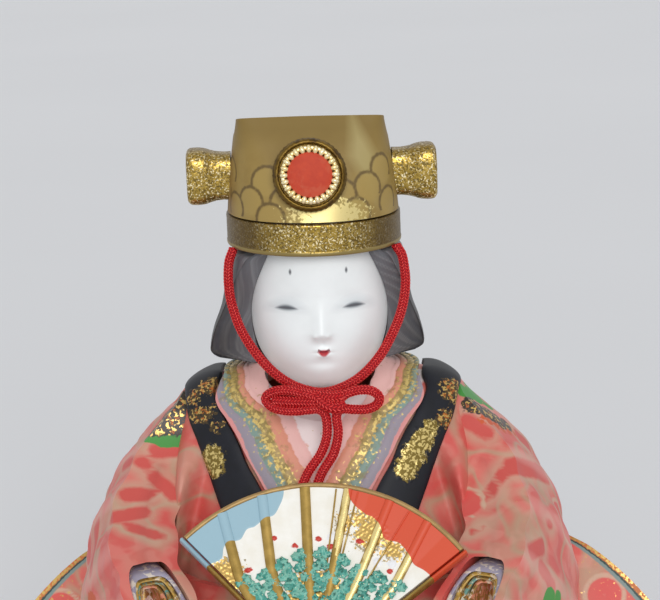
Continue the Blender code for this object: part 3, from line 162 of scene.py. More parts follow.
def wrapped(outer, inner, strip, soft=0.0, stepsBack=8, reach=1.1):
    # closed rings: round the outside, across one cut end, back along the inside and across the other end;
    # soft rounds the corners of the cut ends
    levels, around = outer.shape[:2]
    v = np.linspace(0, 1, strip + 2)[1:-1][None, :, None]
    first, last = inner[:, :1] * (1 - v) + outer[:, :1] * v, outer[:, -1:] * (1 - v) + inner[:, -1:] * v
    for line, corner, behind in ((first, outer[:, :1], outer[:, stepsBack:stepsBack + 1]),
                                 (last, outer[:, -1:], outer[:, -stepsBack - 1:-stepsBack])):
        away = np.linalg.norm(line - corner, axis=-1)
        line += (behind - corner) * soft * np.exp(-(away / reach) ** 2)[..., None]
    rings = np.concatenate([outer, last, inner[:, ::-1], first], axis=1)
    count = rings.shape[1]
    faces = gridFaces(levels, count, False, True)
    for row in (0, (levels - 1) * count):
        end = row + 2 * around + strip - 1
        faces += [[row + i, row + i + 1, end - i - 1, end - i] for i in range(around - 1)]
        faces.append([row + around + i - 1 for i in range(strip + 2)])
        faces.append([end + i for i in range(strip + 1)] + [row])
    return rings, faces


def joined(*solids):
    verts, faces = [], []
    for some, theirs in solids:
        start = sum(len(v) for v in verts)
        verts.append(np.asarray(some))
        faces += [[i + start for i in face] for face in theirs]
    return np.vstack(verts), faces


def makePiece(name, solid, finish, body, fields=None, replaced=None, sharp=radians(45)):
    # a piece replaces the CAD node of its own name, unless other nodes are given
    verts, faces = np.reshape(solid[0], (-1, 3)), solid[1]
    mesh = bpy.data.meshes.new(name)
    mesh.from_pydata((verts * mm).tolist(), [], faces)
    for field, values in (fields or {}).items():
        values = np.asarray(values, np.float32).ravel()
        if len(values) * 2 == len(verts):
            values = np.tile(values, 2)
        values = np.pad(values, (0, len(verts) - len(values)), mode="edge")
        mesh.attributes.new(field, "FLOAT", "POINT").data.foreach_set("value", values)
    work = bmesh.new()
    work.from_mesh(mesh)
    bmesh.ops.recalc_face_normals(work, faces=work.faces)
    work.to_mesh(mesh)
    work.free()
    mesh.shade_smooth()
    mesh.set_sharp_from_angle(angle=sharp)
    obj = bpy.data.objects.new(name, mesh)
    bpy.context.scene.collection.objects.link(obj)
    mesh.materials.append(finishes[finish])
    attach(obj, body)
    if replaced is None:
        replaced = ("".join("_" + c.lower() if c.isupper() else c for c in name),)
    if replaced:
        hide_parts(*replaced)
    return obj


# Finishes


def patternFactor(tree, place, kind, size, width, edge=0.02):
    # how strongly a pattern of that size, in millimetres, shows at a place: contour lines, dots or patches
    if kind == "dots":
        cells = put(tree, "ShaderNodeTexVoronoi", {"Vector": place, "Scale": 1000 / size})
        near, low, high = cells.outputs["Distance"], width, width * 0.7
    else:
        noise = put(tree, "ShaderNodeTexNoise", {
            "Vector": place, "Scale": 1000 / size, "Detail": 1.0 if size > 4 else 3.0, "Distortion": 0.5,
        })
        near = noise.outputs["Fac"]
        low, high = width - edge, width + edge
        if kind == "contour":
            off = put(tree, "ShaderNodeMath", {0: near, 1: 0.5}, operation="SUBTRACT")
            near = put(tree, "ShaderNodeMath", {0: off.outputs[0]}, operation="ABSOLUTE").outputs[0]
            low, high = width + edge, max(width - edge, 0.0)
    ramp = put(tree, "ShaderNodeMapRange", {
        "Value": near, "From Min": low, "From Max": high, "To Min": 0.0, "To Max": 1.0,
    })
    return ramp.outputs[0]


def fieldFactor(tree, place, field, soft=0.12, ragged=0.0, grain=0.6, shift=0.0):
    # turns a vertex field, in millimetres inside an edge, into paint with a crisp or a ragged edge
    value = put(tree, "ShaderNodeAttribute", attribute_name=field).outputs["Fac"]
    if ragged:
        noise = put(tree, "ShaderNodeTexNoise", {"Vector": place, "Scale": 1000 / grain, "Detail": 3.0})
        value = put(tree, "ShaderNodeMath", {0: noise.outputs["Fac"], 1: 2 * ragged, 2: value},
                    operation="MULTIPLY_ADD").outputs[0]
    ramp = put(tree, "ShaderNodeMapRange", {
        "Value": value, "From Min": ragged + shift - soft / 2, "From Max": ragged + shift + soft / 2,
    })
    return ramp.outputs[0]


def paintedFinish(name, tones, coats=(), patch=3.0, rough=0.5, grain=0.25, relief=0.02, metal=0.0, **more):
    # a finish built up in coats: base tones that wander, then each coat's paint or leaf over them
    material = bpy.data.materials.new(name)
    material.use_nodes = True
    tree = material.node_tree
    tree.nodes.clear()
    shader = put(tree, "ShaderNodeBsdfPrincipled", more)
    put(tree, "ShaderNodeOutputMaterial", {"Surface": shader.outputs[0]})
    place = put(tree, "ShaderNodeTexCoord").outputs["Object"]
    wander = put(tree, "ShaderNodeTexNoise", {"Vector": place, "Scale": 1000 / patch, "Detail": 3.0})
    spread = put(tree, "ShaderNodeMapRange", {
        "Value": wander.outputs["Fac"], "From Min": 0.35, "From Max": 0.65,
    })
    tint = put(tree, "ShaderNodeMix", {
        0: spread.outputs[0], 6: linearColour(tones[0]), 7: linearColour(tones[-1]),
    }, data_type="RGBA")
    colour, metalness, roughness = tint.outputs[2], metal, rough
    for coat in coats:
        if "field" in coat:
            how = {key: coat[key] for key in ("soft", "ragged", "grain", "shift") if key in coat}
            amount = fieldFactor(tree, place, coat["field"], **how)
            if "pattern" in coat:
                amount = put(tree, "ShaderNodeMath", {
                    0: amount, 1: patternFactor(tree, place, *coat["pattern"]),
                }, operation="MULTIPLY").outputs[0]
        else:
            amount = patternFactor(tree, place, *coat["pattern"])
        if "strength" in coat:
            amount = put(tree, "ShaderNodeMath", {0: amount, 1: coat["strength"]},
                         operation="MULTIPLY").outputs[0]
        colour = put(tree, "ShaderNodeMix", {0: amount, 6: colour, 7: linearColour(coat["colour"])},
                     data_type="RGBA").outputs[2]
        coatMetal, coatRough = coat.get("metal", 0.0), coat.get("rough", rough)
        if coatMetal or metalness is not metal or metal:
            metalness = put(tree, "ShaderNodeMix", {0: amount, 2: metalness, 3: coatMetal}).outputs[0]
        if coatRough != rough or roughness is not rough:
            roughness = put(tree, "ShaderNodeMix", {0: amount, 2: roughness, 3: coatRough}).outputs[0]
    for socket, value in (("Base Color", colour), ("Metallic", metalness), ("Roughness", roughness)):
        if isinstance(value, bpy.types.NodeSocket):
            tree.links.new(value, shader.inputs[socket])
        else:
            shader.inputs[socket].default_value = value
    if relief:
        grit = put(tree, "ShaderNodeTexNoise", {"Vector": place, "Scale": 1000 / grain, "Detail": 4.0})
        raised = put(tree, "ShaderNodeBump", {
            "Strength": 0.8, "Distance": relief * mm, "Height": grit.outputs["Fac"],
        })
        tree.links.new(raised.outputs[0], shader.inputs["Normal"])
    return material


def layerFinish(name, field, bands, flecks, **more):
    # robe edges painted one colour after another; a field counts the layers
    coats = [dict(field=field, shift=i, soft=0.1, ragged=0.25, grain=1.2, colour=colour)
             for i, colour in enumerate(bands[1:], 1)]
    return paintedFinish(name, (bands[0], bands[0]), (*coats, *flecks), **more)


robeTones = ("#d8625a", "#e07c70")
robeStrokes = (
    dict(pattern=("patches", 7.0, 0.56, 0.06), colour="#c4a188", strength=0.55),
    dict(pattern=("contour", 12.0, 0.035, 0.025), colour="#bb9a7e", strength=0.85),
    dict(pattern=("patches", 12.0, 0.53, 0.04), colour="#d6524b", strength=0.6),
    dict(pattern=("patches", 4.5, 0.56, 0.05), colour="#e9a797", strength=0.25),
    dict(pattern=("dots", 1.6, 0.05), colour="#d8b66a", metal=0.7, rough=0.35),
)
robeRoses = (
    dict(field="rose", soft=0.5, ragged=0.3, grain=1.5, colour="#da524c", strength=0.9),
    dict(field="roseEdge", soft=0.4, ragged=0.3, grain=1.5, colour="#cfb096", strength=0.85),
)
leafGold = dict(colour="#c9a762", metal=0.9, rough=0.36)

finishes = {
    # lamp black over size in thin strokes: a grey satin with brown in it; painted light makes it paler grey near
    # the face and towards the crown, with painted highlights along the strands there
    "hair": paintedFinish("lampBlackBrushedSatin", ("#302f34", "#3d3b40"), (
        dict(field="strand", soft=1.0, shift=0.1, colour="#55524f", strength=0.6),
        dict(field="paintedLightNearFace", soft=6.0, shift=3.4, colour="#77797e", strength=0.75),
        dict(field="streak", soft=0.8, shift=0.35, colour="#9fa1a4", strength=0.3),
    ), patch=2.0, rough=0.42, relief=0.01),
    # shell white over fired clay, rubbed with a cloth: cold satin white
    "bisque": paintedFinish("shellWhiteBurnished", ("#f3f6f6", "#eef1f1"), (
        dict(field="eyeShade", soft=1.4, colour="#c4c9cd", strength=0.5),
        dict(field="eyeInk", soft=0.5, shift=-0.05, colour="#8a9095"),
        dict(field="eyeInk", soft=0.4, shift=0.14, colour="#565b61", strength=0.85),
        dict(field="browInk", soft=0.3, colour="#5c5e63"),
        dict(field="lipRed", soft=0.3, colour="#bf3b42"),
        dict(field="lipLine", soft=0.25, colour="#7d2233", strength=0.9),
    ), patch=6.0, rough=0.36, relief=0.006, grain=0.5),
    # ochre in glue brushed on and left dull, with brown brush lines and crumbs of leaf; painted shade darkens its
    # top and its sides, and painted light makes one front facet paler
    "ochre": paintedFinish("ochreGlueMatt", ("#91773a", "#9b8143"), (
        dict(field="paintedShadeCapTop", soft=6.0, colour="#80682f", strength=0.85),
        dict(field="paintedLightFacet", soft=2.4, colour="#ab9a63", strength=0.9),
        dict(field="scale", soft=1.2, ragged=0.2, grain=1.5, colour="#a68c4b", strength=0.85),
        dict(field="sideShade", soft=4.0, ragged=1.2, grain=2.5, colour="#85602f", strength=0.6),
        dict(field="scallop", soft=0.3, ragged=0.2, grain=0.7, colour="#59441d", strength=0.85),
        dict(field="crumbs", soft=1.6, ragged=1.2, grain=1.2, colour="#c4b165", strength=0.9),
        dict(field="crumbs", soft=0.4, ragged=3.0, grain=0.6, colour="#e2cf8c", metal=0.6, rough=0.35),
    ), patch=4.0, rough=0.55, relief=0.012),
    # gold leaf pressed on a gritty size, with the brown size between the flakes; its glitter is painted glints in
    # pale cream, and painted shade turns it brown on the band's sides and on the side bosses' tops and backs
    "leaf": paintedFinish("goldLeafOnGrittySize", ("#a98b3f", "#c4a656"), (
        dict(pattern=("patches", 0.4, 0.54), colour="#5a4a1c", rough=0.5, metal=0.5, strength=0.8),
        dict(pattern=("patches", 0.34, 0.6), colour="#fff0c4", rough=0.35, metal=0.4, strength=0.95),
        dict(field="aged", soft=8.0, ragged=1.0, grain=1.0, colour="#533f1b", strength=0.85,
             metal=0.6, rough=0.4),
        dict(field="lip", soft=0.2, colour="#93804c", metal=0.6, rough=0.4),
    ), patch=1.6, rough=0.3, relief=0.04, grain=0.3, metal=1.0),
    # turned brass, gilded and worn in patches: its darker gold is painted shade on the sloping side, with long
    # reflections
    "gilt": paintedFinish("turnedGiltWornPaintedShade", ("#5a451e", "#7d6430"), (
        dict(pattern=("patches", 2.2, 0.58), colour="#46331a", strength=0.7, metal=0.8, rough=0.4),
    ), patch=2.0, rough=0.42, relief=0.02, grain=0.8, metal=1.0),
    # the claws, painted pale gold as a painted highlight
    "bezel": paintedFinish("giltTeethPaintedHighlight", ("#f3dc9c", "#fbecc0"), rough=0.25, relief=0.02, metal=0.75),
    # coral-coloured glass paste, dull from handling
    "stone": paintedFinish("coralPasteDull", ("#c9472b", "#bf4029"), (
        dict(pattern=("patches", 2.2, 0.55, 0.06), colour="#c65a40", strength=0.6),
    ), patch=1.2, rough=0.6, relief=0.01, **{"Specular IOR Level": 0.3}),
    # silk plied and braided: painted shade between the strands, and a painted highlight on the crown of each
    # strand
    "silk": paintedFinish("braidedSilkCrimson", ("#8a0410", "#9c0612"), (
        dict(field="crown", soft=0.5, shift=0.05, colour="#dc0e18"),
        dict(field="crown", soft=0.15, shift=0.3, ragged=0.35, grain=0.5, colour="#ff7068", strength=0.8),
    ), patch=1.0, rough=0.5, relief=0.02, grain=0.12, **{"Specular IOR Level": 0.22}),
    # pigment in glue on clay: dull coral with faded flower scrolls, and pale pink painted highlights along the
    # fold ridges
    "robe": paintedFinish("coralPigmentOnClay", robeTones, (
        *robeStrokes,
        dict(field="stroke", shift=-1.5, soft=1.8, ragged=0.5, grain=3.0, colour="#c9a68d", strength=0.6),
        dict(field="stroke", soft=0.7, ragged=0.4, grain=2.0, colour="#d04a44", strength=0.9),
        *robeRoses,
        dict(field="fold", soft=0.5, colour="#f0b0a6", strength=0.55),
        dict(field="greenPatch", soft=0.2, ragged=0.4, grain=1.5, colour="#469640"),
        dict(field="orangePatch", soft=0.2, ragged=0.6, colour="#cf5a2c"),
        dict(field="leafPatch", soft=0.25, ragged=0.7, grain=0.9, colour="#2a2114", rough=0.4),
        dict(field="leafPatch", shift=0.25, soft=0.3, ragged=0.8, pattern=("patches", 0.8, 0.56), **leafGold),
        dict(field="leafPatch", shift=0.4, soft=0.3, ragged=0.8, pattern=("patches", 1.1, 0.62),
             colour="#b5652c"),
    ), patch=5.0, rough=0.5, relief=0.02),
    # the flared hem behind: coral, with leaf rubbed on it and an edge in bands
    "skirt": paintedFinish("coralPigmentLeafEdge", robeTones, (
        *robeStrokes,
        *robeRoses,
        dict(pattern=("patches", 0.8, 0.66), strength=0.8, **leafGold),
        dict(field="edgeBand", soft=0.3, ragged=0.2, colour="#7e9490", shift=-2.6),
        dict(field="edgeBand", soft=0.2, ragged=0.3, colour="#22413c", shift=-1.7),
        dict(field="edgeBand", soft=0.3, ragged=0.4, colour="#c8763a", shift=-1.2),
        dict(field="edgeBand", soft=0.3, ragged=0.5, shift=-1.0, pattern=("patches", 0.7, 0.48), **leafGold),
    ), patch=5.0, rough=0.5, relief=0.02),
}

print("finishes made")


# Camera, at the height and turn that the photograph was taken from

camera = dict(distance=430.0, above=radians(12.0), aside=radians(4.0), roll=radians(2.2),
              target=(2.0, 0.0, 104.0), focalPixels=2337.0, imageWidth=660, sensor=36.0)


def makeCamera():
    aside, above, roll = camera["aside"], camera["above"], camera["roll"]
    ahead = Vector((-sin(aside) * cos(above), cos(aside) * cos(above), -sin(above)))
    level = ahead.cross(Vector((0, 0, 1))).normalized()
    right = level * cos(roll) - level.cross(ahead) * sin(roll)
    upward = right.cross(ahead)
    place = (Vector(camera["target"]) - ahead * camera["distance"]) * mm
    lens = bpy.data.cameras.new("studioCamera")
    lens.sensor_width = camera["sensor"]
    lens.lens = camera["focalPixels"] / camera["imageWidth"] * camera["sensor"]
    lens.clip_start, lens.clip_end = 0.01, 20
    obj = bpy.data.objects.new("studioCamera", lens)
    bpy.context.scene.collection.objects.link(obj)
    turn = Matrix((right, upward, -ahead)).transposed()
    obj.matrix_world = Matrix.Translation(place) @ turn.to_4x4()
    bpy.context.scene.camera = obj


makeCamera()

# Tied silk cord: the chin band, and a bow whose loops each run on through the knot into a tail

cord = dict(diameter=1.8, around=40, step=0.1, pitch=0.55, columns=10, strandRise=0.2, lean=1.1, endShare=0.8,
            knotShare=0.62)
chinRoute = (
    (-14.6, -7.3, 115.4), (-14.8, -7.6, 114.9), (-15.4, -8.2, 113.2), (-15.6, -8.9, 110.4),
    (-15.4, -9.4, 107.4), (-14.8, -10.1, 104.8), (-13.6, -11.2, 101.6), (-11.8, -12.7, 98.8),
    (-9.6, -14.0, 96.1), (-7.0, -14.9, 93.7), (-4.2, -15.4, 91.9), (-1.2, -15.6, 90.8), (1.6, -15.6, 90.5),
    (4.4, -15.5, 91.2), (7.2, -14.9, 92.5), (9.6, -13.8, 94.3), (11.8, -12.4, 96.7), (13.5, -11.0, 99.4),
    (15.0, -9.5, 102.5), (15.9, -8.5, 105.6), (16.3, -7.7, 108.8), (16.1, -7.1, 111.6), (15.7, -6.7, 113.6),
    (14.9, -6.4, 114.9), (14.7, -6.3, 115.4),
)
rightBow = (
    (0.6, -18.5, 90.2), (-1.0, -18.8, 90.9), (-2.4, -18.8, 91.3), (-4.8, -18.6, 91.8), (-6.9, -18.2, 91.6),
    (-8.5, -17.8, 90.8), (-8.9, -17.6, 89.8), (-7.8, -17.9, 88.6), (-5.9, -18.4, 88.1), (-3.5, -18.8, 88.0),
    (-1.4, -18.9, 88.2), (0.6, -18.9, 88.2), (1.8, -19.2, 87.0), (1.9, -19.7, 83.6), (0.7, -20.2, 80.4),
    (-1.7, -21.2, 77.1), (-3.1, -22.8, 73.6), (-3.2, -25.1, 69.4), (-2.6, -27.3, 64.8), (-2.0, -28.6, 60.0),
)
leftBow = (
    (4.2, -18.5, 90.3), (4.9, -18.6, 90.5), (6.0, -18.6, 91.1), (8.0, -18.4, 91.5), (10.0, -18.0, 91.2),
    (11.3, -17.6, 90.0), (10.9, -17.6, 88.6), (9.2, -18.1, 87.9), (6.9, -18.6, 88.0), (5.4, -18.8, 88.2),
    (4.2, -19.1, 88.0), (3.7, -19.3, 86.8), (3.9, -19.7, 83.9), (3.0, -20.2, 80.4), (0.9, -21.1, 77.2),
    (-0.2, -22.3, 74.2), (-0.1, -24.4, 70.4), (0.9, -27.0, 65.4), (1.1, -28.4, 60.4),
)
# inside the bow: a strand that fills the right loop, one laid across the middle, and the last turn over both
knotStrands = (
    ((-7.7, -17.7, 89.8), (-4.4, -18.3, 89.7), (0.0, -18.7, 89.6), (2.6, -18.8, 89.5), (4.8, -18.4, 89.3)),
    ((-0.6, -18.2, 90.9), (1.4, -18.7, 90.6), (3.4, -18.7, 90.4), (5.2, -18.2, 90.6)),
    ((5.0, -18.7, 88.9), (3.8, -19.9, 88.7), (2.4, -20.1, 89.1), (1.0, -19.5, 90.0), (0.2, -18.5, 90.8)),
)


def smoothRoute(route, step):
    # a smooth line through all the chosen places, in even steps
    places = np.asarray(route, float)
    ends = np.vstack([places[0], places, places[-1]])
    t = np.linspace(0, 1, 40, endpoint=False)[:, None]
    line = [
        0.5 * (2 * b + (c - a) * t + (2 * a - 5 * b + 4 * c - d) * t**2 + (3 * b - a - 3 * c + d) * t**3)
        for a, b, c, d in zip(ends, ends[1:], ends[2:], ends[3:])
    ]
    line = np.vstack([*line, places[-1:]])
    run = np.concatenate([[0], np.cumsum(np.linalg.norm(np.diff(line, axis=0), axis=1))])
    wanted = np.linspace(0, run[-1], max(int(run[-1] / step), 8))
    return np.stack([np.interp(wanted, run, line[:, i]) for i in range(3)], -1), wanted


def tubeFrames(line):
    # two directions across a line at each of its points, carried along without a twist
    heading = unit(np.gradient(line, axis=0))
    across = np.zeros_like(line)
    across[0] = np.cross(heading[0], (0.0, 1.0, 0.3))
    for i in range(1, len(line)):
        across[i] = across[i - 1] - heading[i] * np.dot(across[i - 1], heading[i])
    across = unit(across)
    return across, np.cross(heading, across)


def braidTube(route, radius):
    # strands cross in chevrons: each column leans against its neighbour, as in a round braid
    line, run = smoothRoute(route, cord["step"])
    across, upward = tubeFrames(line)
    angle = circle(cord["around"])
    column = angle / (2 * pi) * cord["columns"]
    inColumn = column % 1 - 0.5
    lean = np.where(column.astype(int) % 2, 1, -1) * inColumn
    crown = 0.5 + 0.5 * np.cos(2 * pi * (run[:, None] / cord["pitch"] + lean * cord["lean"]))
    crown = crown * (1 - (2 * inColumn) ** 4 * 0.7)
    size = radius * (1 - cord["strandRise"] * (1 - crown))
    size[0], size[-1] = size[0] * cord["endShare"], size[-1] * cord["endShare"]
    ring = across[:, None] * np.cos(angle)[:, None] + upward[:, None] * np.sin(angle)[:, None]
    # the crowns also paint the silk: a painted highlight on each strand's crown, painted shade between them
    return loft(line[:, None] + ring * size[..., None]), crown - 0.45, line


def makeCord(name, route, replaced=None):
    solid, crown, line = braidTube(route, cord["diameter"] / 2)
    obj = makePiece(name, solid, "silk", "head", {"crown": crown}, replaced, radians(60))


def makeKnot():
    solids, crowns = [], []
    for route in knotStrands:
        solid, crown, _ = braidTube(route, cord["diameter"] * cord["knotShare"])
        solids.append(solid)
        crowns += [crown.ravel(), np.zeros(2)]
    return makePiece("bowKnot", joined(*solids), "silk", "head", {"crown": np.concatenate(crowns)},
                     ("cord_knot",), radians(60))


bowKnot = makeKnot()
makeCord("chinCord", chinRoute)
makeCord("rightBowCord", rightBow, ("bow_loop_right", "cord_tail_right"))
makeCord("leftBowCord", leftBow, ("bow_loop_left", "cord_tail_left"))
print("cords made")


# Robe shapes, in the same shares as the CAD

robe = dict(
    shoulderHeight=90.8, torsoHalfWidth=26.8, chestDepth=18.0, backDepth=27.5, torsoBottom=42.0, wall=2.6,
    throatDip=3.5, throatStart=0.88, neckHole=(10.5, 8.6, 10.0), wallTop=85.6, swell=10.0,
    lapHeight=57.0, hemHalfWidth=66.0, hemFront=60.2, hemBack=54.0, underWall=3.0,
    underSteps=(29.0, 16.7, 8.3), hemPaint=15.0, padThickness=1.2,
    skirtHalfWidth=81.0, skirtBack=60.0, skirtTop=54.5, skirtGap=0.7,
    skirtOpenTop=radians(24), skirtOpenBottom=radians(-9), skirtFolds=14,
    trainHeight=50.0, trainHalf=radians(27), trainSpread=radians(7), trainPleats=9, trainDepth=1.5,
    hemLayers=3, hemLayerHeight=1.7, hemHalf=radians(58),
    backRoses=((-16.0, 17.0, 76.0, 6.0), (17.0, 17.0, 70.0, 6.5), (-18.0, 20.0, 58.0, 6.0),
               (20.0, 19.0, 54.0, 5.0)),
    skirtRoses=((52.0, 12.0, 42.0, 3.4), (60.0, 8.0, 33.0, 4.0), (-54.0, 11.0, 41.0, 3.4),
                (-61.0, 7.0, 32.0, 4.0), (-30.0, 46.0, 40.0, 6.0), (30.0, 46.0, 40.0, 6.0),
                (-62.0, 34.0, 24.0, 7.0), (62.0, 34.0, 24.0, 7.0), (-20.0, 56.0, 18.0, 7.0),
                (22.0, 57.0, 15.0, 7.0)),
)
torsoRows = (
    (0.463, 1.23, 1.61, 0.98), (0.573, 1.14, 1.53, 1.0), (0.661, 1.063, 1.39, 1.0),
    (0.749, 1.019, 1.167, 0.964), (0.815, 1.0, 1.0, 0.909), (0.881, 0.993, 0.833, 0.818),
    (0.931, 0.97, 0.711, 0.727), (0.964, 0.905, 0.628, 0.655), (0.981, 0.82, 0.585, 0.6),
    (0.992, 0.69, 0.545, 0.53), (1.0, 0.5, 0.5, 0.46),
)
underRows = (
    (0.0, 1.0, 1.0, 1.0), (0.07, 0.985, 0.992, 0.99), (0.14, 0.909, 0.926, 0.944),
    (0.228, 0.818, 0.818, 0.88), (0.316, 0.735, 0.702, 0.833), (0.421, 0.652, 0.595, 0.787),
    (0.561, 0.583, 0.529, 0.722), (0.737, 0.545, 0.502, 0.655), (0.877, 0.512, 0.487, 0.59),
    (1.0, 0.482, 0.465, 0.55),
)
skirtRows = (
    (0.0, 1.0, 1.0), (0.14, 0.988, 0.982), (0.33, 0.95, 0.917), (0.51, 0.889, 0.833), (0.69, 0.81, 0.75),
    (0.83, 0.74, 0.68), (0.94, 0.665, 0.6), (1.0, 0.6, 0.54),
)


def torsoPoint(angle, height, grow=0.0):
    share = height / robe["shoulderHeight"]
    sizes = robe["torsoHalfWidth"], robe["chestDepth"], robe["backDepth"]
    x, y = widthAndDepth(torsoRows, share, angle, sizes, grow, 2.15)
    nearTop = np.maximum(0, (share - robe["throatStart"]) / (1 - robe["throatStart"]))
    return points(x, y, height - robe["throatDip"] * np.maximum(0, -np.sin(angle)) ** 2 * nearTop)


def underPoint(angle, height, grow=0.0):
    sizes = robe["hemHalfWidth"], robe["hemFront"], robe["hemBack"]
    return points(*widthAndDepth(underRows, height / robe["lapHeight"], angle, sizes, grow, 2.1), height)


def skirtPoint(angle, height, grow=0.0):
    wide, back = rowAt(skirtRows, height / robe["skirtTop"])
    deep = back * robe["skirtBack"] + grow
    x, y = outline(angle, wide * robe["skirtHalfWidth"] + grow, deep, deep)
    return points(x, y, height)


def lifted(turn, height, lift):
    # a point above the torso's surface, square to it; turn is in degrees from the front
    angle = np.radians(turn) - pi / 2
    high = np.minimum(height, robe["shoulderHeight"])
    here = torsoPoint(angle, high)
    along = torsoPoint(angle + 0.0175, high) - torsoPoint(angle - 0.0175, high)
    out = np.cross(along, here - torsoPoint(angle, high - 0.36))
    return here + unit(out) * np.asarray(lift)[..., None]


def nearTo(place, spots):
    # millimetres inside the nearest of some round spots: place and radius
    inside = [r - np.linalg.norm(place - np.array((x, y, z)), axis=-1) for x, y, z, r in spots]
    return np.max(inside, axis=0)


def strokeField(place, strokes):
    # millimetres inside the nearest brush stroke: from one place to another, and half its width
    inside = []
    for x0, y0, z0, x1, y1, z1, half in strokes:
        start, run = np.array((x0, y0, z0)), np.array((x1 - x0, y1 - y0, z1 - z0))
        share = np.clip((place - start) @ run / (run @ run), 0, 1)
        inside.append(half - np.linalg.norm(place - start - share[..., None] * run, axis=-1))
    return np.max(inside, axis=0)


def roseFields(place, roses, heart=0.5, halfLine=0.4):
    # round flowers: a red disc with a pale heart, and a pale line round it
    disc, edge = np.full(place.shape[:-1], unpainted), np.full(place.shape[:-1], unpainted)
    for x, y, z, size in roses:
        away = np.linalg.norm(place - np.array((x, y, z)), axis=-1)
        disc = np.maximum(disc, size - away)
        edge = np.maximum(edge, np.maximum(halfLine - np.abs(away - size - halfLine), heart - away))
    return {"rose": disc, "roseEdge": edge}


def makeTorso():
    count = 240
    angles = circle(count)
    bottom, shoulder = robe["torsoBottom"], robe["shoulderHeight"]
    outer = torsoPoint(*grid(angles, np.linspace(bottom, shoulder, 90))).transpose(1, 0, 2)
    # the chest swells forward beside the arms, so that the robe runs on into the sleeves
    turn, z = np.degrees(np.arctan2(np.abs(outer[..., 0]), -outer[..., 1])), outer[..., 2]
    swell = smoothStep(60, 77, turn) * smoothStep(120, 92, turn)
    outer[..., 1] -= robe["swell"] * (swell * smoothStep(50, 64, z) * smoothStep(84, 72, z))
    lip = []
    x, y = outline(angles, *robe["neckHole"])
    for drop, share in ((0.35, 0.3), (0.5, 0.75), (0.9, 1.0), (2.6, 1.0)):
        neck = points(x, y, shoulder - robe["throatDip"] * np.maximum(0, -np.sin(angles)) ** 2 - drop)
        lip.append(outer[-1] * (1 - share) + neck * share if share < 1 else neck)
        lip[-1][:, 2] = neck[:, 2]
    inside = [torsoPoint(angles, np.full(count, z), -robe["wall"])
              for z in np.linspace(robe["wallTop"], bottom, 12)]
    rings = np.concatenate([outer, np.array(lip), np.array(inside)])
    fields = roseFields(rings, robe["backRoses"])
    inThroat = rings[..., 2] - 76 - np.abs(rings[..., 0]) * 0.7
    fields["throat"] = np.where(rings[..., 1] < 2, inThroat, unpainted)
    makePiece("robeTorso", loft(rings, closed=True), "torso", "body", fields)


finishes["torso"] = paintedFinish("coralPigmentPaleThroat", robeTones, (
    *robeStrokes,
    dict(field="rose", soft=0.35, ragged=0.25, colour="#e0544d", strength=0.9),
    dict(field="roseEdge", soft=0.3, ragged=0.25, colour="#c2a488", strength=0.8),
    dict(field="throat", soft=0.6, ragged=0.5, grain=2.0, colour="#f2e2e0"),
), patch=5.0, rough=0.5)
finishes["under"] = layerFinish(
    "coralPigmentStripedHem", "hem", ("#d9635a", "#f0e2c4", "#5b9a86", "#f2d3cc", "#c8923a"), robeStrokes,
    patch=5.0, rough=0.5)
finishes["hems"] = layerFinish("robeHemsOneOnOne", "layer", ("#5b9a86", "#f0dccb", "#e9a59c"), (
    dict(pattern=("patches", 0.9, 0.64), strength=0.8, **leafGold),
), rough=0.5)
finishes["train"] = paintedFinish("shellWhiteTrainWithLeaf", ("#efe6d0", "#e6d9bc"), (
    dict(pattern=("contour", 12.0, 0.03), colour="#79a894", strength=0.8),
    dict(pattern=("contour", 8.0, 0.02), colour="#c98f6a", strength=0.6),
    dict(pattern=("patches", 3.0, 0.63), **leafGold),
), patch=6.0, rough=0.5)
# wool pressed flat: grey, with fibres standing on it
finishes["felt"] = paintedFinish("pressedWoolFelt", ("#5e5a55", "#6d6963"), (
    dict(pattern=("contour", 1.2, 0.05), colour="#85807a", strength=0.6),
), patch=1.0, rough=0.95, relief=0.12, grain=0.5)


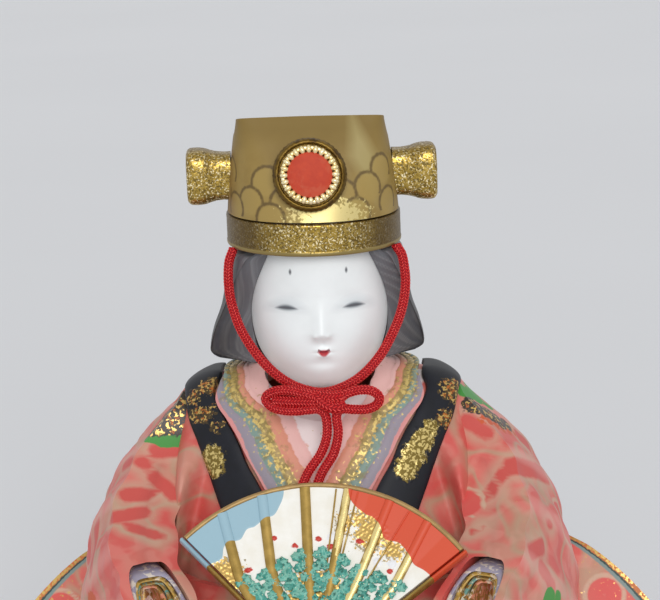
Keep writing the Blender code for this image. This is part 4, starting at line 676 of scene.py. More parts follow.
def makeLowerRobes():
    count = 260
    angles = circle(count)
    lap, bottom, top = robe["lapHeight"], robe["torsoBottom"], robe["skirtTop"]
    rings = [underPoint(angles, np.full(count, z)) for z in np.linspace(0, lap, 70)]
    rings += [torsoPoint(angles, np.full(count, z), 0.6) for z in np.linspace(lap, bottom, 6)]
    rings += [underPoint(angles, np.full(count, z), -robe["underWall"])
              for z in (bottom - gap, *robe["underSteps"], robe["padThickness"], 0.0)]
    rings = np.array(rings)
    hem = np.where(rings[..., 2] < robe["hemPaint"], 5 - rings[..., 2] / 2.2, -1.0)
    makePiece("underRobes", loft(rings, closed=True), "under", "body", {"hem": hem})

    # the flared skirt: shallow folds that die out at its top and at its two cut edges
    columns = 300
    z, share = grid(np.linspace(0, top, 100), np.linspace(0, 1, columns))
    start = robe["skirtOpenBottom"] + (robe["skirtOpenTop"] - robe["skirtOpenBottom"]) * z / top
    angle = start + (pi - 2 * start) * share
    outer = skirtPoint(angle, z)
    atEdges = smoothStep(0, 0.06, share) * smoothStep(0, 0.06, 1 - share)
    fold = 0.5 * np.cos(angle * robe["skirtFolds"]) * smoothStep(0, 0.5, 1 - z / top) * atEdges
    outer[..., :2] *= (1 - (0.5 + fold)[..., None] * 0.6 / 70)
    rings, faces = wrapped(outer, underPoint(angle, z, robe["skirtGap"]), 40)
    edge = -np.minimum(*(np.linalg.norm(rings - side, axis=-1) for side in (outer[:, :1], outer[:, -1:])))
    edge[:, :columns] = np.maximum(edge[:, :columns], z - top)
    fields = {**roseFields(rings, robe["skirtRoses"]), "edgeBand": edge}
    makePiece("outerSkirt", (rings, faces), "skirt", "body", fields)

    share, v = grid(np.linspace(-1, 1, 300), np.linspace(0, 1, 40))
    pleat = 0.5 * (0.5 + 0.5 * np.cos(pi * robe["trainPleats"] * (share + 1))) ** 0.6
    angle = pi / 2 - (robe["trainHalf"] + robe["trainSpread"] * v) * share
    height = robe["trainHeight"] * v
    outer = skirtPoint(angle, height, gap + robe["trainDepth"] - pleat)
    makePiece("backTrain", shell(outer, skirtPoint(angle, height, gap)), "train", "body")

    tall, layers = robe["hemLayerHeight"], robe["hemLayers"]
    share, z = grid(np.linspace(-1, 1, 200), np.linspace(0, tall * layers, 40))
    layer = np.minimum((z / tall).astype(int), layers - 1)
    inLayer = z / tall - layer
    angle = -pi / 2 + robe["hemHalf"] * share
    outer = underPoint(angle, z, gap + 1.45 - 0.4 * layer - 0.3 * np.abs(2 * inLayer - 1) ** 4)
    inner = underPoint(angle, z, 2 * gap)
    makePiece("frontHems", shell(outer, inner), "hems", "body", {"layer": layer + 0.5})

    rings, inset, thick = [], -robe["underWall"] - gap, robe["padThickness"]
    for z, more in ((0.0, -0.3), (0.15, -0.05), (thick / 2, 0.0), (thick - 0.15, -0.05), (thick, -0.3)):
        rings.append(underPoint(angles, np.zeros(count), inset + more) + (0, 0, z))
    pad = makePiece("basePad", loft(np.array(rings)), "felt", "body")


makeTorso()
makeLowerRobes()
print("robes made")

# Sleeves, with their hanging mouths, and the stacked robes in them

sleeve = dict(reachSide=46.0, reachFront=45.0, halfThickness=7.5, wall=1.3, mouthTop=64.0, mouthBottom=22.0,
              mouthDepth=11.0, mouthSquareness=5, layers=4, layerThickness=0.75, setback=0.9, floor=1.5,
              layerEdge=0.22, foldDepth=0.75, grit=0.12, skinColumns=80, elbowColumns=14)
sleeveRows = (
    (0.187, 0.72, 0.11, 0.967, -0.267, 0.49, -0.978, 0.6, 0.73),
    (0.242, 0.74, 0.18, 1.01, -0.244, 0.478, -1.0, 0.85, 0.93),
    (0.33, 0.76, 0.22, 1.043, -0.222, 0.478, -0.989, 0.96, 1.0),
    (0.441, 0.78, 0.267, 1.043, -0.2, 0.489, -0.956, 1.0, 1.0),
    (0.551, 0.78, 0.289, 1.022, -0.178, 0.511, -0.922, 1.0, 0.96),
    (0.639, 0.76, 0.289, 0.967, -0.156, 0.565, -0.844, 0.973, 0.867),
    (0.705, 0.75, 0.289, 0.891, -0.111, 0.652, -0.667, 0.947, 0.827),
    (0.76, 0.717, 0.289, 0.804, -0.022, 0.685, -0.444, 0.907, 0.853),
    (0.826, 0.652, 0.267, 0.717, 0.044, 0.652, -0.244, 0.827, 0.827),
    (0.881, 0.565, 0.222, 0.63, 0.067, 0.587, -0.133, 0.747, 0.747),
    (0.936, 0.489, 0.156, 0.522, 0.067, 0.5, -0.067, 0.6, 0.6),
    (0.976, 0.478, 0.089, 0.489, 0.044, 0.489, 0.0, 0.35, 0.35),
)
# paint on the sleeves, as photographed, for the viewer's left and then right: place and radius; a stroke has
# two ends and half its width
patches = {
    -1: dict(leafPatch=((-26.2, -2.2, 86.0, 2.2), (-28.2, -3.9, 84.2, 2.4), (-26.0, -4.0, 83.6, 2.4),
                        (-29.6, -5.0, 82.8, 2.2), (-27.5, -5.4, 82.2, 2.2), (-31.0, -5.8, 81.8, 1.8)),
             greenPatch=((-32.0, -6.6, 80.3, 1.2), (-29.8, -7.0, 80.1, 1.6), (-27.7, -6.6, 80.0, 1.7),
                         (-25.9, -6.4, 80.0, 1.6)),
             orangePatch=((-26.9, 1.4, 86.7, 2.4), (-42.0, -22.0, 53.4, 2.6)),
             roses=((-44.0, -6.0, 60.0, 4.5), (-46.0, -2.0, 40.0, 5.0), (-45.0, -24.0, 36.0, 4.5)),
             strokes=((-36.6, -7.0, 75.4, -32.4, -10.3, 76.5, 1.4), (-35.3, -15.9, 72.3, -31.7, -15.3, 72.1, 1.6),
                      (-37.0, -20.9, 69.8, -31.9, -19.0, 69.9, 1.6), (-30.2, -8.3, 78.4, -26.2, -7.1, 78.5, 1.7),
                      (-30.6, -12.2, 74.8, -26.2, -15.0, 71.4, 1.5), (-33.8, -22.5, 68.4, -28.3, -23.7, 66.8, 1.2),
                      (-41.6, -12.3, 65.6, -42.0, -18.8, 59.0, 1.6))),
    1: dict(leafPatch=((27.2, -3.4, 84.4, 1.8), (29.0, -3.1, 83.4, 2.0), (30.7, -2.0, 82.0, 2.2),
                       (32.5, -0.9, 80.6, 2.0), (34.0, 1.4, 79.4, 1.6)),
            greenPatch=((26.7, -1.2, 86.4, 2.0), (28.4, 1.0, 85.6, 2.4), (28.0, 4.5, 85.0, 2.6),
                        (31.0, 2.8, 83.4, 1.8), (40.5, -24.6, 54.0, 2.4), (43.5, -22.2, 53.6, 2.0),
                        (37.8, -26.2, 54.3, 1.6)),
            orangePatch=((29.3, -5.3, 82.4, 0.9), (30.6, -5.0, 81.4, 0.9), (31.9, -4.0, 80.4, 0.9),
                         (33.1, -2.8, 79.4, 0.9), (34.5, -0.8, 78.6, 0.9), (35.8, 1.6, 77.8, 0.9)),
            roses=((25.9, -17.4, 70.0, 3.2), (45.0, -4.0, 62.0, 4.5), (46.0, -2.0, 40.0, 5.0),
                   (45.0, -24.0, 36.0, 4.5)),
            strokes=((29.8, -16.8, 71.0, 34.1, -11.6, 75.7, 1.3), (35.1, -12.4, 75.2, 40.6, -1.0, 70.1, 2.0),
                     (27.5, -23.5, 66.4, 41.2, -15.2, 65.1, 1.0), (36.4, 3.5, 76.4, 38.2, 5.5, 73.7, 1.8),
                     (26.5, -5.2, 82.0, 30.2, -7.4, 80.2, 1.5), (37.3, -27.8, 64.0, 39.9, -21.7, 63.1, 1.5),
                     (39.2, -25.5, 60.5, 41.1, -22.9, 56.0, 1.5))),
}


def sleevePoint(side, height, s, across, inset=0.0):
    # a point of the sleeve: s runs from its back end to the mouth, across from one face to the other
    height, s, across = np.broadcast_arrays(np.asarray(height, float), s, across)
    bx, by, ex, ey, fx, fy, back, front = rowAt(sleeveRows, height / robe["shoulderHeight"])
    t = np.minimum(s, 1.0)
    ends = [np.stack([side * x * sleeve["reachSide"], y * sleeve["reachFront"]], -1)
            for x, y in ((bx, by), (ex, ey), (fx, fy))]
    t1 = t[..., None]
    place = ends[0] * (1 - t1) ** 2 + ends[1] * (2 * t1 * (1 - t1)) + ends[2] * t1**2
    heading = unit((ends[1] - ends[0]) * (1 - t1) + (ends[2] - ends[1]) * t1)
    place = place + heading * (np.maximum(s - 1, 0) * sleeve["reachFront"])[..., None]
    half = (back + (front - back) * t) * sleeve["halfThickness"] - inset
    sideways = np.stack([-heading[..., 1], heading[..., 0]], -1)
    flat = place + sideways * (half * across)[..., None]
    return points(flat[..., 0], flat[..., 1], height), heading, half


def sleeveRing(side, z):
    # one level of the sleeve: its far face, round the back end, its near face, then the mouth
    out = np.linspace(1, 0, sleeve["skinColumns"])
    outerFace = sleevePoint(side, z, out, -1.0)[0]
    paintedLightNearFace = sleevePoint(side, z, out[::-1], 1.0)[0]
    middle, heading, half = sleevePoint(side, z, np.zeros(sleeve["elbowColumns"]), 0.0)
    a = np.linspace(0, pi, sleeve["elbowColumns"] + 2)[1:-1, None]
    sideways = np.stack([-heading[..., 1], heading[..., 0]], -1)
    bow = (sideways * -np.cos(a) - heading * np.sin(a)) * half[:, None]
    bow = middle + points(bow[:, 0], bow[:, 1], 0.0)
    # the mouth: round the rim, in along the near wall, across its floor and back out
    centre, tall = mouthMiddle()
    square = sleeve["mouthSquareness"]
    openness = max(0.0, 1 - abs((z - centre) / tall) ** square) ** (1 / square)
    depth = sleeve["mouthDepth"] / sleeve["reachFront"] * sqrt(openness)
    mouthHalf = float(sleevePoint(side, z, 1.0, 0.0)[2])
    hole = max(mouthHalf - sleeve["wall"], 0.1) / mouthHalf * openness
    rim = np.linspace(0, 1, 4)[1:-1, None]
    inward = np.linspace(0, 1, 12)
    nearWall = sleevePoint(side, z, 1 - depth * inward, hole)[0]
    floor = sleevePoint(side, z, np.full(8, 1 - depth), np.linspace(hole, -hole, 10)[1:-1])[0]
    outerWall = sleevePoint(side, z, 1 - depth * inward[::-1], -hole)[0]
    nearRim = paintedLightNearFace[-1] * (1 - rim) + nearWall[0] * rim
    outerRim = outerWall[-1] * (1 - rim) + outerFace[0] * rim
    return np.vstack([outerFace, bow, paintedLightNearFace, nearRim, nearWall, floor, outerWall, outerRim])


def mouthMiddle():
    # the height of the mouth's middle, and half its height
    return (sleeve["mouthTop"] + sleeve["mouthBottom"]) / 2, (sleeve["mouthTop"] - sleeve["mouthBottom"]) / 2


def makeSleeve(word, side):
    # levels lie closer where the mouth opens and closes
    levels = ((17, 21.6, 8), (21.8, 24, 12), (24.6, 61.6, 64), (61.9, 64.2, 14), (64.7, 88.6, 48))
    rings = np.array([sleeveRing(side, z) for z in np.concatenate([np.linspace(*level) for level in levels])])
    # folds: soft ridges that fan from the elbow, sunk below the CAD surface rather than standing on it
    outerCount = 2 * sleeve["skinColumns"] + sleeve["elbowColumns"]
    skin = rings[:, :outerCount]
    x, y, z = side * skin[..., 0], skin[..., 1], skin[..., 2]
    folds = 0.5 + 0.5 * np.sin(0.42 * (z + 0.9 * y) + 1.4 * np.sin(0.11 * z + 0.2 * x) + side * 0.7)
    sunk = sleeve["foldDepth"] * folds ** 1.5 * smoothStep(88, 74, z) * smoothStep(18, 24, z)
    sunk = sunk + sleeve["grit"] * ripple(skin, 6.0, 3)
    edges = np.gradient(skin, axis=1)
    outward = np.stack([edges[..., 1], -edges[..., 0], edges[..., 2] * 0], -1)
    outward /= np.maximum(np.linalg.norm(outward, axis=-1), 1e-6)[..., None]
    flip = np.sign(np.sum(outward * (skin - skin.mean(axis=1, keepdims=True)), axis=-1).mean())
    rings[:, :outerCount] = skin - outward * flip * sunk[..., None]
    painted = patches[side]
    fields = {name: nearTo(rings, painted[name]) for name in ("leafPatch", "greenPatch", "orangePatch")}
    fields["stroke"] = strokeField(rings, painted["strokes"])
    fields.update(roseFields(rings, painted["roses"]))
    # painted highlight: pale pink on the ridges left between the sunk folds
    fields["fold"] = np.full(rings.shape[:2], unpainted)
    fields["fold"][:, :outerCount] = 0.12 - folds
    makePiece(word + "Sleeve", loft(rings), "robe", "body", fields)


finishes["cuff"] = layerFinish(
    "cuffLayersPainted", "layer", ("#9d98ad", "#c8a24e", "#6f9f95", "#e79a7c", "#f3d9d5"), (
        dict(field="layer", shift=0.0, soft=0.1, pattern=("patches", 1.3, 0.55), colour="#efe3cf", strength=0.7),
        dict(field="layer", shift=1.0, soft=1.2, pattern=("patches", 1.0, 0.5), strength=0.9, **leafGold),
    ), patch=1.5, rough=0.48)


def makeCuff(word, side):
    # stepped edges of the robes inside the mouth, each set deeper than the one outside it
    middle, tall = mouthMiddle()
    loop = circle(150)
    roundness = 2 / sleeve["mouthSquareness"]

    def wall(inset, s):
        up = np.sign(np.sin(loop)) * np.abs(np.sin(loop)) ** roundness
        across = np.sign(np.cos(loop)) * np.abs(np.cos(loop)) ** roundness
        return sleevePoint(side, middle + (tall - inset) * up, s, across, inset)[0]

    solids, layers = [], []
    reach, edge, step = sleeve["reachFront"], sleeve["layerEdge"], sleeve["layerThickness"]
    deep = 1 - (sleeve["mouthDepth"] - gap) / reach
    for i in range(sleeve["layers"]):
        inset = sleeve["wall"] + gap * 0.3 + step * i
        end = 1 - sleeve["setback"] * (i + 1) / reach
        thick = step - 0.05
        rows = np.array([wall(inset + more, s) for more, s in (
            (0, deep), (0, (deep + end) / 2), (0, end - edge / reach), (edge, end), (thick - edge, end),
            (thick, end - edge / reach), (thick, deep))])
        solids.append((rows.reshape(-1, 3), gridFaces(len(rows), len(loop), True, True)))
        layers.append(np.full(rows.shape[0] * rows.shape[1], i + 0.5))
    inset = sleeve["wall"] + step * sleeve["layers"]
    solids.append(loft(np.array([wall(inset, deep), wall(inset, deep + sleeve["floor"] / reach)])))
    layers.append(np.full(len(solids[-1][0]), sleeve["layers"] + 0.5))
    makePiece(word + "CuffLayers", joined(*solids), "cuff", "body", {"layer": np.concatenate(layers)})


for word, side in bothSides:
    makeSleeve(word, side)
    makeCuff(word, side)
print("sleeves made")

# Stacked collars and the two neckbands

collars = dict(baseThickness=0.55, layerStep=0.14, roll=0.12, bandThickness=1.5, bandRelief=0.12, stands=0.45)
# turn in degrees from the front and share of the shoulder's height, down each neckband's two edges
bandInner = ((9.5, 0.69), (16, 0.75), (23, 0.81), (28, 0.847), (32, 0.885), (37, 0.923), (47, 0.962),
             (63, 0.985), (82, 0.992), (112, 0.99))
bandOuter = ((28, 0.655), (33, 0.71), (38.6, 0.762), (43.2, 0.803), (47.6, 0.842), (51.5, 0.872),
             (58, 0.909), (68, 0.945), (83, 0.96), (114, 0.955))
# turn, and the heights of the collars' upper and lower edges
collarEdges = (
    (0, 0.945, 0.66), (5, 0.95, 0.678), (9, 0.956, 0.715), (12, 0.962, 0.745), (16, 0.97, 0.782),
    (22, 0.98, 0.832), (28, 0.986, 0.878), (34, 0.99, 0.927), (40, 0.993, 0.956), (49.5, 0.996, 0.977),
    (63, 0.999, 0.989), (75, 1.0, 0.993), (92, 1.0, 0.9935),
)
# collar edges brushed one on the other in thin glue paint, with leaf rubbed along two of them
collarWidths = (0.0, 1.2, 3.0, 4.7, 6.3, 8.5, 10.8, 14.0)
finishes["collar"] = layerFinish(
    "collarLayersPainted", "layer",
    ("#f1e2e0", "#eebdb6", "#dd947a", "#b59b66", "#81998f", "#978e99", "#d9918e"), (
        dict(field="leafRub", soft=0.5, ragged=1.6, grain=1.6, colour="#8b7a3e", strength=0.7),
        dict(field="leafRub", soft=0.3, shift=0.1, ragged=1.9, grain=0.7, colour="#d8be74",
             metal=0.6, rough=0.4),
        dict(pattern=("patches", 0.6, 0.7), strength=0.8, **leafGold),
    ), patch=2.0, rough=0.5)
# lamp black with indigo, rubbed smooth, and leaf laid on it in ragged flowers
finishes["neckband"] = paintedFinish("indigoBlackRubbed", ("#0e1017", "#14161f"), (
    dict(pattern=("dots", 1.6, 0.06), colour="#5a5f80", strength=0.7),
    dict(field="speckle", soft=0.3, ragged=2.2, grain=1.0, colour="#5e4a20", strength=0.5),
    dict(field="speckle", soft=0.3, ragged=1.6, pattern=("patches", 0.75, 0.56), colour="#b8692c",
         metal=0.4, rough=0.4),
    dict(field="speckle", soft=0.3, ragged=1.6, pattern=("patches", 0.6, 0.55), **leafGold),
    dict(field="flower", soft=0.3, ragged=1.6, grain=0.9, colour="#7d6a31", metal=0.5, rough=0.4),
    dict(field="flower", soft=0.3, ragged=1.0, grain=0.5, pattern=("patches", 0.55, 0.52), colour="#d6c07c",
         metal=0.7, rough=0.35),
), patch=3.0, rough=0.5, **{"Specular IOR Level": 0.3})
bandFlowers = {
    -1: dict(flower=((-19.1, -13.0, 77.8, 2.6), (-18.5, -14.0, 76.0, 1.7)),
             speckle=((-22.2, -7.6, 84.6, 1.8), (-20.9, -8.4, 84.6, 1.8), (-19.6, -8.6, 85.0, 1.6),
                      (-22.6, -5.6, 87.0, 1.8), (-20.3, -5.4, 89.2, 2.0), (-18.2, -10.2, 83.0, 1.7))),
    1: dict(flower=((17.0, -14.4, 78.4, 2.3), (15.6, -16.0, 76.2, 2.1), (18.6, -12.8, 80.4, 2.1),
                    (20.0, -11.2, 82.2, 1.6)),
            speckle=((23.6, -5.4, 87.6, 2.2), (24.4, -3.9, 88.2, 1.4), (22.6, -9.0, 83.4, 1.6))),
}


def bandEdge(rows, key):
    # turn and share of the height on one edge of a neckband; key counts the rows of its table
    return rowAt([(i, *row) for i, row in enumerate(rows)], key)


def makeCollars():
    turns = np.linspace(0, 360, 300, endpoint=False)
    near = np.minimum(np.minimum(turns, 360 - turns), collarEdges[-1][0])
    throat, low = (np.asarray(v) * robe["shoulderHeight"] for v in rowAt(collarEdges, near))
    low = low - 1.2 * smoothStep(58, 42, near)
    turn, v = grid(turns, np.linspace(0, 1, 84))
    height = throat[:, None] + (low - throat)[:, None] * v
    flat = lifted(turn, height, np.zeros(v.shape))
    # layers are counted by the distance from the neckband, but never run out under the throat
    steps = 200
    turnIn, highIn = bandEdge(bandInner, np.linspace(0, len(bandInner) - 1, steps))
    edge = lifted(turnIn, highIn * robe["shoulderHeight"], np.zeros(steps))
    right = np.where(flat[..., :1] > 0, flat, flat * (-1, 1, 1))
    away = np.min(np.linalg.norm(right[..., None, :] - edge, axis=-1), axis=-1)
    fromThroat = np.linalg.norm(flat - flat[:, :1], axis=-1)
    layer = np.minimum(np.interp(away, collarWidths, np.arange(7, -1, -1.0)), 1.2 + fromThroat / 1.25)
    step = np.floor(layer) + smoothStep(0, 0.15, layer % 1)
    roll = collars["roll"] * np.sin(pi * (layer % 1))
    lift = gap + collars["baseThickness"] + collars["layerStep"] * np.minimum(step, 5.5) + roll
    outer = lifted(turn, height, lift)
    inner = lifted(turn, height, np.full(v.shape, gap))
    # the innermost collar stands up round the neck, highest at the sides
    flap = []
    upright = smoothStep(16, 40, near)[:, None]
    level = 1 - upright[:, 0]
    fromAxis = np.linalg.norm(outer[:, 0, :2], axis=1)[:, None]
    for out, up in ((3.0, 1.1), (3.0, 1.35), (2.85, 1.5), (2.6, 1.5), (2.0, 1.2), (1.2, 0.7), (0.5, 0.25)):
        moved = outer[:, 0] * (1 - upright * out * (1, 1, 0) / fromAxis)
        moved[:, 2] += (upright * up)[:, 0] + level * 0.02 * up
        moved[:, 1] += level * 0.05 * out
        flap.append(moved)
    flap = np.array(flap).transpose(1, 0, 2)
    under = np.repeat(inner[:, :1], flap.shape[1], axis=1)
    under[..., :2] = flap[..., :2] * 0.6 + inner[:, :1, :2] * 0.4
    under[..., 2] = np.minimum(flap[..., 2] - collars["stands"], inner[:, :1, 2])
    outer, inner = np.concatenate([flap, outer], axis=1), np.concatenate([under, inner], axis=1)
    layer = np.concatenate([np.repeat(layer[:, :1], flap.shape[1], axis=1), layer], axis=1)
    rub = 0.06 - 0.42 * np.abs(layer - 3.8) + 0.15 * smoothStep(80, 89, outer[..., 2])
    fields = {"layer": layer, "leafRub": rub}
    makePiece("collarLayers", shell(outer, inner, around=True), "collar", "body", fields)


def makeNeckband(word, side):
    key, u = grid(np.linspace(0, len(bandInner) - 1, 220), np.linspace(0, 1, 44))
    (turnIn, highIn), (turnOut, highOut) = bandEdge(bandInner, key), bandEdge(bandOuter, key)
    turn = side * (turnIn + (turnOut - turnIn) * u)
    height = (highIn + (highOut - highIn) * u) * robe["shoulderHeight"]
    rounded = 1.0 - 0.3 * np.abs(2 * u - 1) ** 5
    outer = lifted(turn, height, gap + (collars["bandThickness"] - 0.05) * rounded)
    inner = lifted(turn, height, np.full(u.shape, gap))
    fields = {name: nearTo(outer, spots) for name, spots in bandFlowers[side].items()}
    raisedLeaf = smoothStep(-0.3, 0.4, fields["flower"] + 0.5 * ripple(outer, 1.0, 5)) * collars["bandRelief"]
    outer = outer + unit(outer - inner) * raisedLeaf[..., None]
    makePiece(word + "Neckband", shell(outer, inner), "neckband", "body", fields)


makeCollars()
for word, side in bothSides:
    makeNeckband(word, side)
print("collars made")

# Head: face, hair shell and neck

head = dict(restTurn=radians(5), neckBottom=84.0, height=45.0, halfWidth=12.7, front=14.3, back=11.0,
            hairBottom=94.0, hairHeight=25.0, hairHalfWidth=19.8, hairAside=0.7, hairDepth=17.0,
            hairRound=1.1, endDrop=1.3, strandDepth=0.09,
            backHairBottom=26.0, backHairTop=89.0, backHairHalfWidth=11.0, backHairThickness=3.0)
headRows = (
    (0.0, 0.457, 0.364, 0.56), (0.08, 0.465, 0.385, 0.58), (0.122, 0.51, 0.55, 0.6),
    (0.14, 0.55, 0.76, 0.63), (0.162, 0.62, 0.86, 0.66), (0.2, 0.74, 0.91, 0.72),
    (0.267, 0.89, 0.965, 0.83), (0.355, 0.975, 0.99, 0.92), (0.444, 1.0, 0.98, 0.98),
    (0.533, 0.975, 0.98, 1.0), (0.622, 0.925, 0.99, 1.0), (0.711, 0.86, 0.97, 1.0), (0.8, 0.78, 0.86, 0.95),
    (0.9, 0.6, 0.6, 0.75), (0.97, 0.36, 0.36, 0.45), (1.0, 0.1, 0.1, 0.12),
)
hairRows = (
    (0.0, 0.93, 0.7, 0.93, 0.02), (0.04, 0.985, 0.71, 0.97, 0.024), (0.09, 1.0, 0.72, 1.0, 0.03),
    (0.24, 0.96, 0.74, 1.0, 0.055), (0.4, 0.89, 0.78, 0.98, 0.08), (0.56, 0.85, 0.82, 0.95, 0.125),
    (0.72, 0.82, 0.86, 0.92, 0.18), (0.81, 0.785, 0.88, 0.9, 0.21), (0.845, 0.7, 0.885, 0.86, 0.22),
    (1.0, 0.695, 0.87, 0.85, 0.24),
)
face = dict(eyeAside=6.05, eyeHeight=105.6, eyeHalfWidth=1.85, lidCurve=0.22, eyeInk=0.44, browAside=5.0,
            browHeight=112.1, mouthAside=0.3, mouthHeight=97.3, noseTip=100.9, noseBridge=107.5, noseRise=1.5)
faceFields = ("eyeInk", "eyeShade", "browInk", "lipRed", "lipLine")


def turned(place):
    c, s = cos(head["restTurn"]), sin(head["restTurn"])
    return points(place[..., 0] * c - place[..., 1] * s, place[..., 0] * s + place[..., 1] * c, place[..., 2])


def headPoint(angle, height, grow=0.0):
    share = (height - head["neckBottom"]) / head["height"]
    sizes = head["halfWidth"], head["front"], head["back"]
    return points(*widthAndDepth(headRows, share, angle, sizes, grow, 2.1), height)


def makeHead():
    turns = np.linspace(-pi, pi, 280, endpoint=False)
    # columns lie closest at the front, and levels between the chin and the crown
    angles = turns - 0.78 * np.sin(turns) - pi / 2
    levels = ((84, 90, 24), (90.2, 116, 210), (116.6, 129, 16))
    z, angle = grid(np.concatenate([np.linspace(*level) for level in levels]), angles)
    skin = headPoint(angle, z)
    x = skin[..., 0]
    # nose: a thin bridge that widens to a small tip, then tucks under
    bridge, tip = face["noseBridge"], face["noseTip"]
    down = np.clip((bridge - z) / (bridge - tip), 0, 1)
    under = smoothStep(tip - 2.2, tip + 0.2, z)
    rise = face["noseRise"] * down**1.4 * under * np.exp(-(x / (1.15 + 0.75 * down)) ** 2)
    # soft rises and hollows, in the order of bump's spot: lips, philtrum, chin, then each side of the face
    mouthX, mouthZ = face["mouthAside"], face["mouthHeight"]
    aside, eyeZ = face["eyeAside"], face["eyeHeight"]
    spots = [(mouthX, mouthZ + 0.55, 1.35, 0.45, 0.34), (mouthX, mouthZ - 0.5, 1.1, 0.5, 0.4),
             (mouthX, mouthZ, 1.4, 0.16, -0.22), (0.1, mouthZ + 1.7, 0.5, 0.8, -0.12),
             (0.0, 93.2, 3.4, 2.0, 0.35), (0.0, 95.3, 2.6, 0.8, -0.25)]
    for side in (-1, 1):
        spots += [(side * 1.25, tip - 0.4, 0.5, 0.5, 0.28), (side * 6.4, 100.2, 3.2, 3.2, 0.3),
                  (side * aside, eyeZ + 1.6, 2.8, 1.0, -0.28), (side * aside, eyeZ + 0.35, 2.3, 0.6, 0.22),
                  (side * aside, eyeZ - 0.25, 2.1, 0.2, -0.14)]
    rise = rise + sum(bump(x, z, spot) for spot in spots)
    skin[..., 1] -= rise * smoothStep(0.0, -4.0, skin[..., 1])
    off = np.abs(np.abs(x) - aside) / face["eyeHalfWidth"]
    lid = eyeZ - face["lidCurve"] * off**2 * np.sign(off)
    eye = np.where(off < 1.25, face["eyeInk"] * (1 - off**2) - np.abs(z - lid) * 0.95, -2.0)
    shade = 1.1 - np.sqrt(((np.abs(x) - aside) / 2.6) ** 2 + ((z - lid - 0.5) / 1.0) ** 2)
    browX, browZ = np.abs(x + 0.15) - face["browAside"], z - face["browHeight"]
    brow = 0.3 - np.sqrt((browX / 0.7) ** 2 + (browZ / 1.6) ** 2)
    wide = np.abs(x - mouthX)
    lipWidth = 0.72 + 0.45 * smoothStep(-0.5, 0.4, z - mouthZ)
    lips = 1.0 - np.sqrt((wide / lipWidth) ** 2 + ((z - mouthZ) / 0.62) ** 2)
    bow = mouthZ + 0.38 - 0.16 * np.cos(wide * 3.4)
    line = np.where(wide < 1.1, 0.1 + 0.12 * wide - np.abs(z - bow), -1.0)
    ahead = np.where(skin[..., 1] < 0, 0.0, unpainted)
    fields = {name: paint + ahead for name, paint in zip(faceFields, (eye, shade, brow, lips * 0.6, line))}
    makePiece("headFace", loft(turned(skin)), "bisque", "head", fields, ("head",))


def strands(along, height):
    # brushed locks: broad and narrow streaks beside each other, wandering a little as they fall
    broad = 0.5 * np.sin(along * 2.3 + 1.1 * np.sin(height * 0.21))
    middling = 0.3 * np.sin(along * 5.9 + 0.8 * np.sin(height * 0.34))
    return broad + middling + 0.2 * np.sin(along * 13.0 + np.sin(height * 0.5))


def makeHair():
    columns, strip = 360, 26
    level, share = grid(np.linspace(0, 1, 80) ** 1.15, np.linspace(0, 1, columns))
    z = head["hairBottom"] + head["hairHeight"] * level
    wide, front, back, openShare = rowAt(hairRows, level)
    angle = -openShare * pi + (pi + 2 * openShare * pi) * share
    deep = head["hairDepth"]
    x, y = outline(angle, wide * head["hairHalfWidth"], front * deep, back * deep, 2.1)
    outer = points(x - head["hairAside"] * (1 - level), y, z)
    inner = headPoint(angle, z, 0.1)
    # the lower edge is rolled, as clay is when it is wiped
    fromEdge = np.maximum(0.0, 1 - level * head["hairHeight"] / 1.3)
    rounded = head["hairRound"] * (1 - np.sqrt(1 - fromEdge ** 2))[..., None]
    outer = outer + unit(inner - outer) * (rounded + 0.02)
    rings, faces = wrapped(outer, inner, strip, 0.45)
    along = np.cumsum(np.linalg.norm(np.diff(rings, axis=1, prepend=rings[:, :1]), axis=-1), axis=1)
    along -= along[:, columns // 2:columns // 2 + 1]
    streak = strands(along, rings[..., 2])
    # painted light: the hair is painted paler near the face and towards its top, and painted highlights follow the
    # strands there
    fromFace = np.linalg.norm(rings[..., :2], axis=-1)
    paintedLightNearFace = np.where(rings[..., 1] < 2, 19.0 - fromFace, 0.0) + 2 * smoothStep(0.3, 1.0, level[:, :1])
    # the cut ends hang lower beside the cheeks
    inside = slice(columns + strip, 2 * columns + strip)
    ends, visible = np.zeros(rings.shape[1]), np.ones(rings.shape[1])
    ends[inside] = smoothStep(0.2, 0.05, np.minimum(share[0], 1 - share[0]))
    ends[columns:inside.start], ends[inside.stop:] = np.linspace(0, 1, strip), np.linspace(1, 0, strip)
    visible[inside] = 0.0
    centre = rings.mean(axis=1, keepdims=True) * (1, 0, 1) + (0, 3.0, 0)
    rings = rings - unit(rings - centre) * (head["strandDepth"] * (1 - streak) * visible)[..., None]
    rings[..., 2] -= head["endDrop"] * smoothStep(0, 1, ends) * np.maximum(0, 1 - level[:, :1] / 0.35) ** 2
    fields = {"strand": streak, "paintedLightNearFace": paintedLightNearFace, "streak": streak * smoothStep(1, 5, paintedLightNearFace)}
    makePiece("headHair", (turned(rings), faces), "hair", "head", fields)


backHairRows = (
    (0.456, 0.905, 0.35, 1.0), (0.632, 0.82, 0.5, 0.9), (0.772, 0.755, 0.6, 0.8), (0.877, 0.685, 0.7, 0.7),
    (0.965, 0.59, 0.76, 0.6), (1.089, 0.51, 0.82, 0.5), (1.325, 0.466, 0.9, 0.45),
    (1.562, 0.432, 1.0, 0.46), (1.799, 0.358, 1.05, 0.5), (1.947, 0.3, 1.05, 0.5),
)


